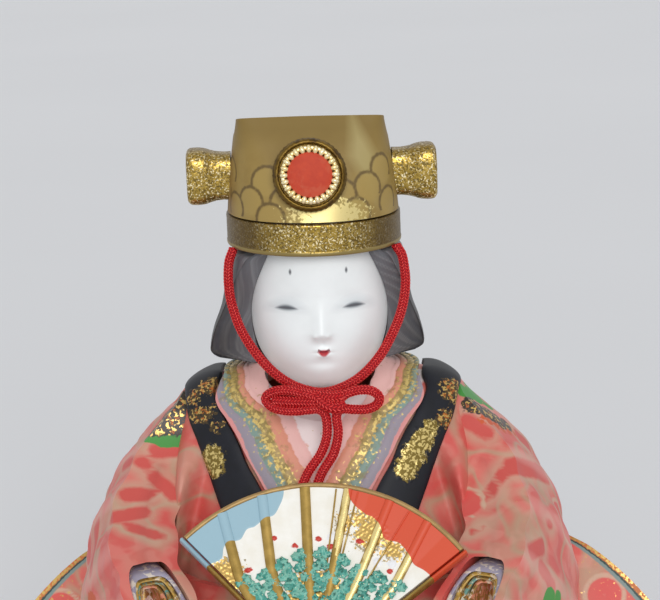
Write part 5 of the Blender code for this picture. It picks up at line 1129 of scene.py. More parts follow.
def makeBackHair():
    u, v = grid(np.linspace(-1, 1, 160), np.linspace(0, 1, 120))
    z = head["backHairBottom"] + (head["backHairTop"] - head["backHairBottom"]) * v
    lap = robe["lapHeight"]
    share = np.where(z < lap, z / lap, 1 + (z - lap) / (robe["shoulderHeight"] - lap))
    depth, width, bend = rowAt(backHairRows, share)
    x = u * width * head["backHairHalfWidth"]
    y = depth * robe["skirtBack"] - x * x / (2 * bend * robe["skirtBack"])
    strand = strands(u * head["backHairHalfWidth"], z)
    full = head["backHairThickness"] * (1.0 - 0.8 * u**4) - head["strandDepth"] * (1 - strand)
    blank = np.zeros(strand.shape)
    makePiece("backHair", shell(points(x, y + full, z), points(x, y, z)), "hair", "body",
              {"strand": strand, "paintedLightNearFace": blank, "streak": blank})


makeHead()
makeHair()
makeBackHair()
print("head made")

# Crown: gilt band, ochre cap with brushed scallops, boss with its bezel and stone, side bosses

crown = dict(bandBottom=115.4, bandHeight=5.7, halfWidth=15.9, front=17.0, back=16.4, wall=1.1,
             capHeight=17.7, topSlope=0.2, roofGap=0.5, around=320, scallopRadius=2.6, lineWidth=0.26,
             hollow=0.8, aside=0.45, outOfLevel=0.014, bandRelief=0.02)
capRows = (
    (0.0, 0.98, 0.97, 0.95, 2.2), (0.25, 0.955, 0.915, 0.88, 2.5), (0.5, 0.92, 0.82, 0.77, 3.0),
    (0.75, 0.88, 0.68, 0.65, 4.0), (0.94, 0.845, 0.53, 0.54, 6.0), (1.0, 0.835, 0.48, 0.5, 8.0),
)
# scallop centres, from the back rows to the front ones: degrees from the front, height
scallops = (
    (-67.8, 129.2), (50.1, 129.7), (-32.1, 128.4), (36.8, 126.9), (18.0, 126.2), (-18.3, 125.0),
    (-42.9, 124.7), (54.8, 123.8), (-59.6, 123.2), (27.0, 122.6), (-28.1, 122.0),
)


def worn(place):
    # the crown sits a little aside on the head, and not quite level
    x, y, z = np.moveaxis(turned(place), -1, 0)
    return points(x - crown["aside"], y, z - crown["outOfLevel"] * x)


def capRings(shares, angles):
    share, angle = grid(shares, angles)
    wide, front, back, square = rowAt(capRows, share)
    x, y = outline(angle, wide * crown["halfWidth"], front * crown["front"], back * crown["back"], square)
    fall = crown["topSlope"] * (y + front * crown["front"]) * np.maximum(0, 4 * share - 3)
    hollow = crown["hollow"] * np.exp(-(x / 7.5) ** 2) * smoothStep(0.5, 0.95, share) * (y < 0)
    base = crown["bandBottom"] + crown["bandHeight"] + gap
    return points(x, y + hollow, base + crown["capHeight"] * share - fall)


def makeCap():
    angles = circle(crown["around"])
    base, roof = crown["bandBottom"] + crown["bandHeight"] + gap, head["neckBottom"] + head["height"]
    inside = np.array([headPoint(angles, np.full(len(angles), z), crown["roofGap"])
                       for z in np.linspace(roof, base, 10)])
    inside[0, :, 2] += crown["roofGap"]
    outer = capRings(np.linspace(0, 1, 90), angles)
    rim = outer[-1]
    middle = rim.mean(0)
    top = []
    for share, drop in ((0.985, 0.02), (0.96, 0.25), (0.93, 0.55), (0.7, 0.75), (0.4, 0.85), (0.1, 0.9)):
        top.append(middle + (rim - middle) * share)
        top[-1][:, 2] -= drop
    rings = np.concatenate([inside, outer, np.array(top)])
    x, y, z = rings[..., 0], rings[..., 1], rings[..., 2]
    turn = np.degrees(np.arctan2(x, -y))
    line, scale = np.full(x.shape, -3.0), np.full(x.shape, -3.0)
    # even rows round the back, then the front's own; each covers those painted before it
    centres = [(t + shift, height) for shift, height in ((0, 129.0), (10, 126.2), (0, 123.4))
               for t in range(-168, 190, 20) if abs(t + shift) > 76]
    for atTurn, atHeight in (*centres, *scallops):
        aside = np.radians((turn - atTurn + 180) % 360 - 180) * 15.4
        within = crown["scallopRadius"] - np.hypot(aside, (z - atHeight) * 0.95)
        stroke = np.where(z > atHeight - 1.4, crown["lineWidth"] - np.abs(within), -3.0)
        line = np.where(within > 0, stroke, np.maximum(line, stroke))
        scale = np.maximum(scale, within)
    outside = np.zeros(x.shape)
    outside[:len(inside)] = unpainted
    # painted light on one front facet; painted shade on the top and on the sides
    paintedLightFacet = 2.2 - np.abs(x - 9.0 + 0.24 * (z - 132.5)) - 0.32 * np.abs(z - 132.5)
    fields = {
        "scallop": line + outside, "paintedShadeCapTop": z - 134.0, "scale": scale + outside,
        "paintedLightFacet": np.where(y < 0, paintedLightFacet, unpainted),
        "sideShade": np.maximum(-turn - 62, np.abs(turn) - 100) * 0.27 - np.maximum(0, z - 131),
        "crumbs": 1.9 - np.hypot((turn - 8) * 0.09, (z - 122.4) * 0.75) + outside,
    }
    makePiece("crownCap", loft(worn(rings)), "ochre", "head", fields)


def makeBand():
    angles = circle(420)
    low, high = crown["bandBottom"], crown["bandBottom"] + crown["bandHeight"]
    edge = crown["wall"] / 4
    profile = [(low, -edge), (low + 0.1, -0.08), (low + edge, 0.0), (low + 0.75, 0.02), (low + 0.9, -0.1)]
    profile += [(z, -0.06) for z in np.linspace(low + 1.1, high - 0.4, 26)]
    profile += [(high - 0.15, -0.1), (high, -edge), (high, -crown["wall"]), (low, -crown["wall"])]
    sizes = crown["halfWidth"], crown["front"], crown["back"]
    rings = np.array([points(*outline(angles, *(size + grow for size in sizes)), z) for z, grow in profile])
    rough = crown["bandRelief"] * ripple(rings, 0.5, 11, 24)
    rough[:4] *= 0.1
    rough[-3:] = 0
    rings[..., :2] *= (1 + np.minimum(rough, 0.04)[..., None] / 16)
    # painted shade: the band's leaf is painted browner the further it turns from the front
    turn = np.abs(np.degrees(np.arctan2(rings[..., 0], -rings[..., 1])))
    makePiece("crownBand", loft(worn(rings), closed=True), "leaf", "head",
              {"aged": (turn - 30) * 0.3, "lip": low + 0.75 - rings[..., 2]})


boss = dict(height=129.9, radius=6.6, front=17.6, length=6.0, recessRadius=5.5, recessDepth=1.5,
            tilt=radians(10), aside=0.55, up=0.25, flutes=44, fluteDepth=0.07, bezelWall=0.85, teeth=24,
            tooth=0.6, stoneHeight=2.2)


def seated(place):
    # from the boss's own axis, standing up, to its seat on the cap's front
    turn, length = pi / 2 - boss["tilt"], boss["length"]
    x, y, z = place[..., 0], place[..., 1], place[..., 2]
    inward = y * cos(turn) - z * sin(turn) - (boss["front"] - length * cos(boss["tilt"]))
    height = y * sin(turn) + z * cos(turn) + boss["height"] - length * sin(boss["tilt"])
    return worn(points(x - boss["aside"], inward, height + boss["up"]))


def turnedRings(profile, around):
    angles = circle(around)
    return np.array([points(r * np.cos(angles), r * np.sin(angles), z) for r, z in profile])


def geometryTree(name, **inputs):
    # an empty geometry tree with these named inputs
    tree = bpy.data.node_groups.new(name, "GeometryNodeTree")
    tree.interface.new_socket("Geometry", in_out="INPUT", socket_type="NodeSocketGeometry")
    for name, kind in inputs.items():
        tree.interface.new_socket(name, in_out="INPUT", socket_type="NodeSocket" + kind)
    tree.interface.new_socket("Geometry", in_out="OUTPUT", socket_type="NodeSocketGeometry")
    return tree, put(tree, "NodeGroupInput").outputs


def finishTree(tree, geometry, finish):
    real = put(tree, "GeometryNodeRealizeInstances", {"Geometry": geometry})
    coated = put(tree, "GeometryNodeSetMaterial", {"Geometry": real.outputs[0], "Material": finish})
    put(tree, "NodeGroupOutput", {"Geometry": coated.outputs[0]})
    return tree


def beadTree():
    # claws round the stone: one bead, repeated on a circle and leant inwards
    tree, given = geometryTree("bezelClaws", Count="Int", Radius="Float", Bead="Float", Finish="Material")
    hoop = put(tree, "GeometryNodeMeshCircle", {"Vertices": given["Count"], "Radius": given["Radius"]})
    bead = put(tree, "GeometryNodeMeshUVSphere", {"Segments": 12, "Rings": 8, "Radius": given["Bead"]})
    around = put(tree, "GeometryNodeInstanceOnPoints", {
        "Points": hoop.outputs["Mesh"], "Instance": bead.outputs["Mesh"], "Scale": (0.85, 1.32, 1.1),
    })
    place = put(tree, "GeometryNodeInputPosition").outputs[0]
    aim = put(tree, "FunctionNodeAlignEulerToVector", {"Vector": place}, axis="Y", pivot_axis="Z")
    tree.links.new(aim.outputs[0], around.inputs["Rotation"])
    both = put(tree, "GeometryNodeJoinGeometry", {0: given["Geometry"]})
    tree.links.new(around.outputs["Instances"], both.inputs[0])
    return finishTree(tree, both.outputs[0], given["Finish"])


def grown(verts, faces, tree, settings):
    # runs a geometry tree on a solid and gives back the plain verts and faces, in the solid's own units
    mesh = bpy.data.meshes.new("seed")
    mesh.from_pydata(np.asarray(verts).tolist(), [], faces)
    holder = bpy.data.objects.new("seed", mesh)
    bpy.context.scene.collection.objects.link(holder)
    modifier = holder.modifiers.new("tree", "NODES")
    modifier.node_group = tree
    for item in tree.interface.items_tree:
        if item.in_out == "INPUT" and item.name in settings:
            modifier[item.identifier] = settings[item.name]
    result = bpy.data.meshes.new_from_object(holder.evaluated_get(bpy.context.evaluated_depsgraph_get()))
    verts = np.empty(len(result.vertices) * 3)
    result.vertices.foreach_get("co", verts)
    faces = [list(p.vertices) for p in result.polygons]
    holder.modifiers.remove(modifier)
    bpy.data.objects.remove(holder)
    bpy.data.meshes.remove(mesh)
    bpy.data.meshes.remove(result)
    return verts.reshape(-1, 3), faces


def makeBoss():
    radius, recess = boss["radius"], boss["recessRadius"]
    floor = boss["length"] - boss["recessDepth"]
    # turned section: up the side, over the rounded rim and down into the recess
    rim = ((0.06, 5.05), (0.18, 5.42), (0.34, 5.7), (0.54, 5.9), (0.74, 5.98), (0.92, 5.94), (1.04, 5.8))
    profile = [(0.01, 0.0), (3.0, 0.0), (radius - 0.05, 0.0), (radius, 1.5), (radius, 3.6), (radius, 4.6)]
    profile += [(radius - inward, z) for inward, z in rim]
    profile += [(recess, 5.6), (recess, floor), (3.0, floor), (0.01, floor)]
    rings = turnedRings(profile, 120)
    angle = np.arctan2(rings[..., 1], rings[..., 0])
    onSide = np.hypot(rings[..., 0], rings[..., 1]) > recess + 0.1
    flutes = boss["fluteDepth"] * np.cos(angle * boss["flutes"]) * onSide
    rings[..., :2] *= (1 - boss["fluteDepth"] / radius + flutes / radius)[..., None]
    makePiece("bossRing", loft(seated(rings)), "gilt", "head")

    outer = recess - gap
    inner, low = outer - boss["bezelWall"], floor + gap
    collet = turnedRings([(outer, low), (outer, low + 1.1), (outer - 0.15, low + 1.35),
                          (inner + 0.15, low + 1.35), (inner, low + 1.1), (inner, low)], 88)
    # the claws stand on the plane z = 0 of their tree
    standing = (0, 0, low + 1.4)
    verts, faces = grown(*loft(collet - standing, closed=True), beadTree(), {
        "Count": boss["teeth"], "Radius": (outer + inner) / 2 - 0.25, "Bead": boss["tooth"],
        "Finish": finishes["bezel"],
    })
    makePiece("bossBezel", (seated(verts + standing), faces), "bezel", "head", sharp=radians(60))

    radius = recess - boss["bezelWall"] - 2 * gap
    dome = [(radius, low)] + [(radius * cos(a), low + boss["stoneHeight"] * (0.72 + 0.28 * sin(a)))
                              for a in np.linspace(0, pi / 2 - 0.02, 24)]
    makePiece("bossStone", loft(seated(turnedRings(dome, 72))), "stone", "head")


sideBoss = dict(height=127.7, tall=10.2, deep=9.0, reach=22.6, neck=14.6, squareness=3.6, dent=0.03)
sideBossRows = ((0.0, 0.84), (0.2, 0.84), (0.4, 0.88), (0.62, 0.98), (0.8, 1.0), (0.9, 0.99), (0.96, 0.95),
                (1.0, 0.86))


def makeSideBoss(word, side):
    neck, reach, height = sideBoss["neck"], sideBoss["reach"], sideBoss["height"]
    share = np.concatenate([np.linspace(0, 0.9, 40), np.linspace(0.91, 1, 10)])
    half = sideBoss["tall"] / 2
    y, z = outline(circle(130), sideBoss["deep"] / 2, half, half, sideBoss["squareness"])
    rings = [points(side * (neck + (reach - neck) * t), y * wide, height + z * wide)
             for t, wide in zip(share, rowAt(sideBossRows, share)[0])]
    end = rings[-1]
    middle = end.mean(0)
    for part, out in ((0.92, 0.12), (0.8, 0.16), (0.5, 0.18), (0.2, 0.18)):
        rings.append(middle + (end - middle) * part)
        rings[-1][:, 0] += side * out * 0.6
    rings = np.array(rings)
    dents = np.minimum(sideBoss["dent"] * ripple(rings, 0.55, 21 + side, 24), 0.05)
    rings = rings + unit(rings - np.array((side * 19.0, 0.0, height))) * (dents - 0.05)[..., None]
    y, z = rings[..., 1], rings[..., 2]
    # painted shade: each side boss is painted browner on its top and towards its back
    aged = np.maximum(z - (height + 4.1) + y * 0.4, y - 1.0)
    fields = {"aged": aged, "lip": np.full(y.shape, unpainted)}
    makePiece(word + "SideBoss", loft(worn(rings)), "leaf", "head", fields)


makeCap()
makeBand()
makeBoss()
for word, side in bothSides:
    makeSideBoss(word, side)
print("crown made")

# Fan: pleated leaf with painted clouds and pines, ribs, rim, guards and rivet

fan = dict(
    pivotFront=43.0, pivotHeight=48.82, tilt=radians(34), radius=33.0, halfAngle=48.0, lean=3.5, inner=10.5,
    thickness=0.9, folds=7, foldDepth=0.2, front=1.15, rimWidth=1.1, rimHalfDepth=1.1, paint=0.1,
    ribEase=(0.5, 0.45, 0.9, 1.0, 0.9, 0.72), ribHalfWidth=0.8, ribFront=1.75,
    giltLines=(6.6, 13.6, 31.0), giltLineHalfWidth=0.16,
    hubRadius=3.0, hubBack=0.9, tangHalfWidth=1.2, tangLength=8.0, tangFront=1.7, guardHalfWidth=0.45,
    pineRows=((19.3, 9, 42), (17.2, 9, 40), (15.2, 8, 42), (13.2, 7, 42), (11.6, 6, 40)),
    pineClump=((-0.75, -0.35), (0.75, -0.35), (0.0, 0.45)), pineSize=1.0, pineDepth=0.34, pineSeed=4,
    rivet=((0.01, 0.3), (1.3, 0.3), (1.5, 0.5), (0.9, 0.7), (0.9, 1.95), (1.5, 1.98), (1.42, 2.2),
           (1.1, 2.42), (0.6, 2.52), (0.01, 2.55)),
)
# painted edges of the clouds: degrees from the fan's middle and radius
skyEdge = ((-52, 26.2), (-46, 26.0), (-40.2, 25.3), (-37, 26.6), (-34.5, 27.0), (-30, 26.2), (-26, 27.3),
           (-22.9, 27.2), (-18.4, 27.9), (-15, 28.0), (-12.4, 29.4), (-10.3, 31.4), (-9.5, 34.0))
sunEdge = ((9.3, 34.0), (11.7, 30.3), (17.9, 28.4), (21, 28.2), (24.5, 27.25), (28.4, 25.5), (34, 26.1),
           (39.9, 25.4), (44, 24.7), (48.9, 25.2), (56, 25.6))
blossoms = ((-7.3, 22.8), (-11.6, 17.2), (-3.6, 21.4), (2.7, 21.2), (7.8, 22.0), (9.6, 19.9), (13.0, 16.6),
            (0.6, 22.6))
whiteBlossoms = ((2.9, 22.9), (13.4, 17.8), (1.2, 20.6), (10.8, 18.2))
mistSpots = ((9.8, 23.7, 3.0), (8.0, 26.0, 1.6), (-15.8, 16.0, 3.2), (13.6, 20.6, 1.8), (5.2, 25.5, 1.3),
             (0.0, 12.0, 5.0))


def leaned(place):
    c, s = cos(fan["tilt"]), sin(fan["tilt"])
    y, z = place[..., 1], place[..., 2]
    return points(place[..., 0], y * c + z * s - fan["pivotFront"], -y * s + z * c + fan["pivotHeight"])


def fanPlace(turn, radius, front):
    return points(radius * np.sin(np.radians(turn)), -front, radius * np.cos(np.radians(turn)))


def fanFields(place):
    # millimetres inside each painted area, from places in the fan's own plane
    u, v = place[..., 0], place[..., 2]
    turn, radius = np.degrees(np.arctan2(u, v)), np.hypot(u, v)
    skyFrom, skyTo, sunFrom, sunTo = skyEdge[0][0], -9.5, sunEdge[0][0], sunEdge[-1][0]
    sky = np.where(turn < skyTo, radius - rowAt(skyEdge, np.clip(turn, skyFrom, skyTo))[0], -3.0)
    sun = np.where(turn > sunFrom, radius - rowAt(sunEdge, np.clip(turn, sunFrom, sunTo))[0], -3.0)
    red = np.max([0.5 - np.hypot((u - a) / 1.25, (v - b) * 1.1) for a, b in blossoms], axis=0)
    white = np.max([0.8 - np.hypot(u - a, v - b) for a, b in whiteBlossoms], axis=0)
    mist = np.max([r - np.hypot(u - a, v - b) for a, b, r in mistSpots], axis=0)
    return {"sky": sky, "sun": sun, "blossom": red, "whiteBlossom": white, "mist": mist}


fanPaint = (
    dict(field="sky", soft=0.12, colour="#9bbdcb"),
    dict(field="sun", soft=0.12, colour="#d9512f"),
)
# shell white on the leaf, then clouds and flowers in thick glue paint with clean edges
finishes["fanLeaf"] = paintedFinish("shellWhiteLeafPainted", ("#fbf9f2", "#f4f0e4"), (
    dict(field="mist", soft=0.4, ragged=4.5, grain=0.7, colour="#8d7a45", strength=0.8),
    dict(field="mist", soft=0.3, ragged=3.5, grain=0.5, **leafGold),
    *fanPaint,
    dict(field="whiteBlossom", soft=0.2, ragged=0.8, colour="#f2f2f4"),
    dict(field="blossom", soft=0.15, ragged=0.5, colour="#c93a2c"),
), patch=3.0, rough=0.45, relief=0.015)
# bronze paint over raised ribs, with a painted highlight along the crests of the ribs on the right
finishes["rib"] = paintedFinish("giltRibPaintedHighlight", ("#9c7f3d", "#b3934c"), (
    dict(field="paintedRibHighlight", soft=0.4, ragged=0.5, grain=1.5, colour="#eed894", metal=0.9, rough=0.25),
    *fanPaint,
), patch=2.0, rough=0.4, metal=0.6, relief=0.02)
finishes["fanRim"] = paintedFinish("bronzePaintRim", ("#a08150", "#b4935c"), patch=2.0, rough=0.42,
                                   metal=0.35)
finishes["brass"] = paintedFinish("turnedBrassPin", ("#caa04a", "#d9b45e"), rough=0.25, metal=1.0,
                                  relief=0.01)
# ground malachite in thick glue paint: a dry green with pale and dark specks
finishes["pine"] = paintedFinish("malachiteGreenThick", ("#37897a", "#5cb0a0"), (
    dict(pattern=("patches", 0.7, 0.56), colour="#1f5a4c", strength=0.8),
    dict(pattern=("dots", 0.6, 0.2), colour="#efe9c6", strength=0.9),
    dict(pattern=("dots", 1.3, 0.09), colour="#3b2a4a", strength=0.8),
    dict(pattern=("contour", 1.6, 0.05), colour="#8cc9b4", strength=0.7),
), patch=0.9, rough=0.5, relief=0.08, grain=0.3)


def spread(count, half=fan["halfAngle"]):
    # turns across the fan, about its leaning middle
    return np.linspace(fan["lean"] - half, fan["lean"] + half, count)


def makeLeaf():
    turn, radius = grid(spread(420), np.linspace(fan["inner"], fan["radius"] - fan["rimWidth"] + 0.1, 120))
    phase = (turn - fan["lean"] + fan["halfAngle"]) / (2 * fan["halfAngle"]) * fan["folds"]
    fold = fan["foldDepth"] * (np.abs((phase % 1) - 0.5) * 2 - 0.5)
    flat = fanPlace(turn, radius, 0 * turn)
    fields = fanFields(flat)
    # paint stands on the leaf: clouds, blossoms and the grains of the mist
    raised = fan["paint"] * (smoothStep(-0.05, 0.1, fields["sky"]) + smoothStep(-0.05, 0.1, fields["sun"]))
    raised += 0.22 * smoothStep(-0.05, 0.3, fields["blossom"]) \
        + 0.15 * smoothStep(0, 0.4, fields["whiteBlossom"])
    raised += 0.05 * ripple(flat, 0.8, 31, 20) * smoothStep(-0.5, 0.5, fields["mist"])
    outer = fanPlace(turn, radius, fan["front"] + fold + raised)
    inner = fanPlace(turn, radius, -fan["thickness"] / 2 + fold)
    makePiece("fanLeaf", shell(leaned(outer), leaned(inner)), "fanLeaf", "fan", fields)


def pineTree():
    # pine clumps: a ribbed cushion set on every point of the layout, turned and sized by chance
    tree, given = geometryTree("pineClumps", Size="Float", Depth="Float", Seed="Int", Finish="Material")
    ball = put(tree, "GeometryNodeMeshUVSphere", {"Segments": 18, "Rings": 8, "Radius": given["Size"]})
    place = put(tree, "GeometryNodeInputPosition").outputs[0]
    apart = put(tree, "ShaderNodeSeparateXYZ", {0: place}).outputs
    angle = put(tree, "ShaderNodeMath", {0: apart[1], 1: apart[0]}, operation="ARCTAN2").outputs[0]
    sixfold = put(tree, "ShaderNodeMath", {0: angle, 1: 6.0}, operation="MULTIPLY").outputs[0]
    lobes = put(tree, "ShaderNodeMath", {0: sixfold}, operation="COSINE").outputs[0]
    swell = put(tree, "ShaderNodeMath", {0: lobes, 1: 0.14, 2: 1.0}, operation="MULTIPLY_ADD").outputs[0]
    puffed = put(tree, "ShaderNodeVectorMath", {0: place, "Scale": swell}, operation="SCALE").outputs[0]
    shaped = put(tree, "GeometryNodeSetPosition", {"Geometry": ball.outputs["Mesh"], "Position": puffed})
    flat = put(tree, "ShaderNodeCombineXYZ", {0: 1.0, 1: 0.85, 2: given["Depth"]}).outputs[0]
    squashed = put(tree, "GeometryNodeTransform", {
        "Geometry": shaped.outputs[0], "Scale": flat, "Rotation": (pi / 2, 0.0, 0.0),
    })
    chance = put(tree, "FunctionNodeRandomValue", {2: 0.8, 3: 1.15, "Seed": given["Seed"]}, data_type="FLOAT")
    spin = put(tree, "FunctionNodeRandomValue", {2: -0.5, 3: 0.5, "Seed": given["Seed"]}, data_type="FLOAT")
    turnBy = put(tree, "ShaderNodeCombineXYZ", {1: spin.outputs[1]}).outputs[0]
    placed = put(tree, "GeometryNodeInstanceOnPoints", {
        "Points": given["Geometry"], "Instance": squashed.outputs[0], "Rotation": turnBy,
        "Scale": chance.outputs[1],
    })
    return finishTree(tree, placed.outputs[0], given["Finish"])


def makePines():
    layout = []
    for radius, count, half in fan["pineRows"]:
        for turn in spread(count, half):
            out = radius + 0.9 * cos(radians(turn) * 7)
            layout += [(out * sin(radians(turn)) + aside, -fan["front"] - 0.25, out * cos(radians(turn)) + up)
                       for aside, up in fan["pineClump"]]
    verts, faces = grown(layout, [], pineTree(), {
        "Size": fan["pineSize"], "Depth": fan["pineDepth"], "Seed": fan["pineSeed"],
        "Finish": finishes["pine"],
    })
    makePiece("fanPines", (leaned(verts), faces), "pine", "fan", replaced=(), sharp=radians(60))


def barSolid(line, halfWidth, back, front):
    # a bar with a rounded back, along a line in the fan's plane
    line = np.asarray(line)
    heading = unit(np.gradient(line, axis=0))
    arc = np.linspace(0, pi, 9)
    across = np.concatenate([[-halfWidth], -halfWidth * np.cos(arc), [halfWidth]])
    high = np.concatenate([[back], back + (front - back) * (0.45 + 0.55 * np.sin(arc)), [back]])
    x = line[:, :1] + heading[:, 1:] * across
    z = line[:, 1:] - heading[:, :1] * across
    return loft(points(x, -np.broadcast_to(high, x.shape), z))


def pinSolid(profile, around):
    # a turned part with its axis square to the fan
    rings = turnedRings(profile, around)
    return points(rings[..., 0], -rings[..., 2], rings[..., 1])


def straight(turn, start, end, steps=40):
    along = np.linspace(start, end, steps)
    return np.stack([along * sin(radians(turn)), along * cos(radians(turn))], -1)


def ribLine(turn, ease, reach):
    # from the rim a rib runs steeper than the fan's own spokes, and bends in to the hub under the pines
    top = np.array((sin(radians(turn)), cos(radians(turn)))) * reach
    s = np.linspace(0, 0.97, 90)
    steep = top[0] - np.tan(radians(turn * ease)) * top[1] * s
    bend = smoothStep(0.38, 0.97, s)
    return np.stack([steep * (1 - bend) + top[0] * (1 - s) * bend, top[1] * (1 - s)], -1)[::-1]


def makeSticks():
    reach, back = fan["radius"] - fan["rimWidth"] + 0.1, fan["hubBack"]
    solids = []
    for turn, ease in zip(spread(len(fan["ribEase"]) + 2)[1:-1], fan["ribEase"]):
        halfWidth = fan["ribHalfWidth"] * (1.15 if turn < 0 else 1.0)
        solids.append(barSolid(ribLine(turn, ease, reach), halfWidth, back, fan["ribFront"]))
    # thin gilt lines beside the ribs on the sun's side, as painted
    solids += [barSolid(straight(turn, 12.0, reach - 0.2), fan["giltLineHalfWidth"], back, fan["front"] + 0.3)
               for turn in fan["giltLines"]]
    hub, front = fan["hubRadius"], fan["tangFront"]
    solids.append(loft(pinSolid([(0.01, back), (hub - 0.1, back), (hub, back + 0.1), (hub, front - 0.1),
                                 (hub - 0.1, front), (0.01, front)], 48)))
    solids.append(barSolid(straight(180.0, 1.0, fan["tangLength"], 10), fan["tangHalfWidth"], back, front))
    verts, faces = joined(*solids)
    onCrest = 0.35 - np.abs(-verts[..., 1] - fan["ribFront"]) * 2
    fields = fanFields(verts)
    # painted highlight along the crests of the ribs right of the middle
    fields["paintedRibHighlight"] = np.where(verts[..., 0] > 3.5, onCrest, -1.0) + 0.25 * ripple(verts, 3.0, 41)
    makePiece("fanSticks", (leaned(verts), faces), "rib", "fan", fields)


def makeFanEdges():
    count = 16
    radial, deep = outline(circle(count), fan["rimWidth"] / 2, fan["rimHalfDepth"], fan["rimHalfDepth"], 3.0)
    turn, j = grid(spread(160), np.arange(count))
    rim = fanPlace(turn, fan["radius"] - fan["rimWidth"] / 2 + radial[j], 0.25 + deep[j])
    makePiece("fanRim", loft(leaned(rim)), "fanRim", "fan")
    for word, side in bothSides:
        turn = fan["lean"] + side * fan["halfAngle"]
        line = straight(turn, fan["inner"] - fan["hubRadius"], fan["radius"], 60)
        verts, faces = barSolid(line, fan["guardHalfWidth"], -0.9, 1.3)
        shift = side * (fan["guardHalfWidth"] + gap * 0.5)
        verts = verts + np.array((cos(radians(turn)), 0, -sin(radians(turn)))) * shift
        fields = {**fanFields(verts), "paintedRibHighlight": np.full(len(verts), -1.0)}
        makePiece(word + "FanGuard", (leaned(verts), faces), "rib", "fan", fields, ("fan_guard_" + word,))
    makePiece("fanRivet", loft(leaned(pinSolid(fan["rivet"], 40))), "brass", "fan")


makeLeaf()
makePines()
makeSticks()
makeFanEdges()
print("fan made")

# Hands, closed round the fan's tang

hand = dict(radius=3.0, wrist=2.1, flatness=0.8, around=40, groove=0.14, thumb=1.0)
# the hand's middle line as shares of the sleeve's reach and the shoulder's height, then its fullness
handRoute = ((0.677, -0.662, 0.462, 0.0), (0.594, -0.811, 0.463, 0.0), (0.505, -0.935, 0.464, 0.15),
             (0.37, -1.0, 0.468, 0.8), (0.2, -1.018, 0.476, 1.0), (0.09, -1.013, 0.484, 0.6),
             (0.035, -1.01, 0.487, -0.3))
thumbRoute = ((11.0, -45.6, 45.6), (7.5, -46.6, 46.4), (4.0, -47.0, 46.4), (2.2, -47.0, 46.0))


def roundedEnds(count, steps, least):
    # shares of the full radius along a tube whose two ends close in round
    fromEnd = np.minimum(np.arange(count), np.arange(count)[::-1])
    return np.sqrt(np.clip((fromEnd + 1) / steps, least, 1))


def makeHand(word, side):
    scales = side * sleeve["reachSide"], sleeve["reachFront"], robe["shoulderHeight"], 1.0
    route = np.array(handRoute) * scales
    line, run = smoothRoute(route[:, :3], 0.35)
    full = np.interp(run / run[-1], np.linspace(0, 1, len(route)), route[:, 3])
    radius = hand["wrist"] + (hand["radius"] - hand["wrist"]) * full
    heading = unit(np.gradient(line, axis=0))
    sideways = unit(np.cross(heading, (0, 0, 1.0)))
    upward = np.cross(sideways, heading)
    angle = circle(hand["around"])
    # four fingers wrap towards the tang: grooves that deepen past the knuckles
    fingers = hand["groove"] * smoothStep(13.0, 8.0, np.abs(line[:, 0]))[:, None]
    groove = np.abs(np.cos(np.sin(angle) * 2 * pi)) ** 4 * fingers * (np.abs(np.sin(angle)) < 0.97)
    size = radius[:, None] * (1 - groove) * roundedEnds(len(line), 4, 0.2)[:, None]
    rings = line[:, None] + sideways[:, None] * (np.cos(angle) * hand["flatness"] * size)[..., None] \
        + upward[:, None] * (np.sin(angle) * size)[..., None]
    thumbLine, _ = smoothRoute(np.array(thumbRoute) * (side, 1, 1), 0.3)
    across, above = tubeFrames(thumbLine)
    thick = hand["thumb"] * roundedEnds(len(thumbLine), 5, 0.15)
    loop = circle(18)[:, None]
    ring = across[:, None] * np.cos(loop) + above[:, None] * np.sin(loop)
    solid = joined(loft(rings), loft(thumbLine[:, None] + ring * thick[:, None, None]))
    blank = np.full(len(solid[0]), unpainted)
    makePiece(word + "Hand", solid, "bisque", "body", {name: blank for name in faceFields})


for word, side in bothSides:
    makeHand(word, side)

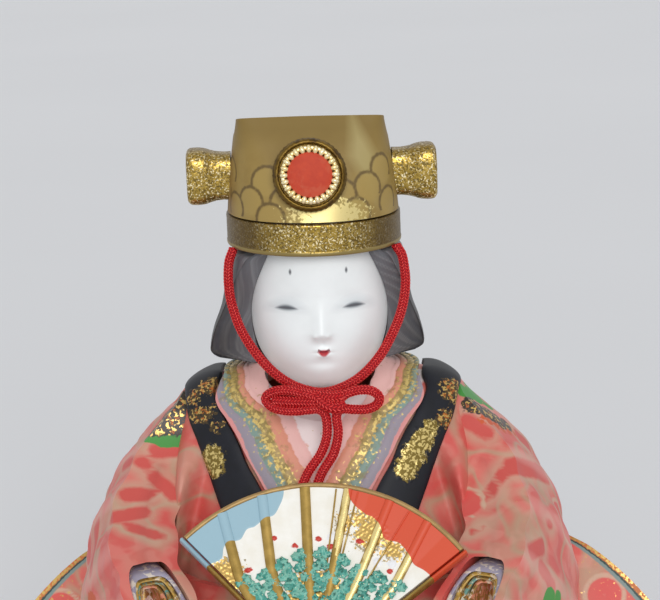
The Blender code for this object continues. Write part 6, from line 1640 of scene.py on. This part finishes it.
# the neck's wooden block and peg keep their CAD shape: hinoki, split and pared, with fine grain
wood = paintedFinish("hinokiPared", ("#cfa878", "#dcb98c"), (
    dict(pattern=("contour", 1.4, 0.06), colour="#b08755", strength=0.6),
), patch=2.0, rough=0.6, relief=0.03)
for name in ("neck_block", "neck_peg"):
    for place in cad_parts[name].material_slots:
        place.material = wood
print("hands and neck made")

# Studio: a pale floor, one soft lamp beside the camera, and the room's own light


studio = dict(room="#f2f3f5", roomLight=0.62, roomSeen=0.9, lampEnergy=1.3, lampWidth=radians(30),
              lampWay=(-0.14, 0.88, -0.42), floor=("#ebecee", "#edeef0"), floorHalf=6.0)


def makeStudio():
    scene = bpy.context.scene
    scene.view_settings.view_transform = "Standard"
    world = bpy.data.worlds.new("paleRoom")
    world.use_nodes = True
    tree = world.node_tree
    tree.nodes.clear()
    # the room is a little brighter to look at than as a light
    path = put(tree, "ShaderNodeLightPath").outputs
    shown = path["Is Camera Ray"]
    for other in ("Is Glossy Ray", "Is Transmission Ray"):
        shown = put(tree, "ShaderNodeMath", {0: shown, 1: path[other]}, operation="MAXIMUM").outputs[0]
    strength = put(tree, "ShaderNodeMapRange", {
        "Value": shown, "To Min": studio["roomLight"], "To Max": studio["roomSeen"],
    })
    light = put(tree, "ShaderNodeBackground", {
        "Color": linearColour(studio["room"]), "Strength": strength.outputs[0],
    })
    put(tree, "ShaderNodeOutputWorld", {"Surface": light.outputs[0]})
    scene.world = world

    sun = bpy.data.lights.new("softKey", "SUN")
    sun.energy, sun.angle = studio["lampEnergy"], studio["lampWidth"]
    lamp = bpy.data.objects.new("softKey", sun)
    lamp.rotation_euler = Vector(studio["lampWay"]).to_track_quat("-Z", "Y").to_euler()
    scene.collection.objects.link(lamp)

    mesh = bpy.data.meshes.new("floor")
    half = studio["floorHalf"]
    corners = [(-half, -half, 0), (half, -half, 0), (half, half, 0), (-half, half, 0)]
    mesh.from_pydata(corners, [], [(0, 1, 2, 3)])
    floor = bpy.data.objects.new("floor", mesh)
    scene.collection.objects.link(floor)
    mesh.materials.append(paintedFinish("paleMattPaper", studio["floor"], patch=400.0, rough=0.9, relief=0))


makeStudio()
print("studio made")
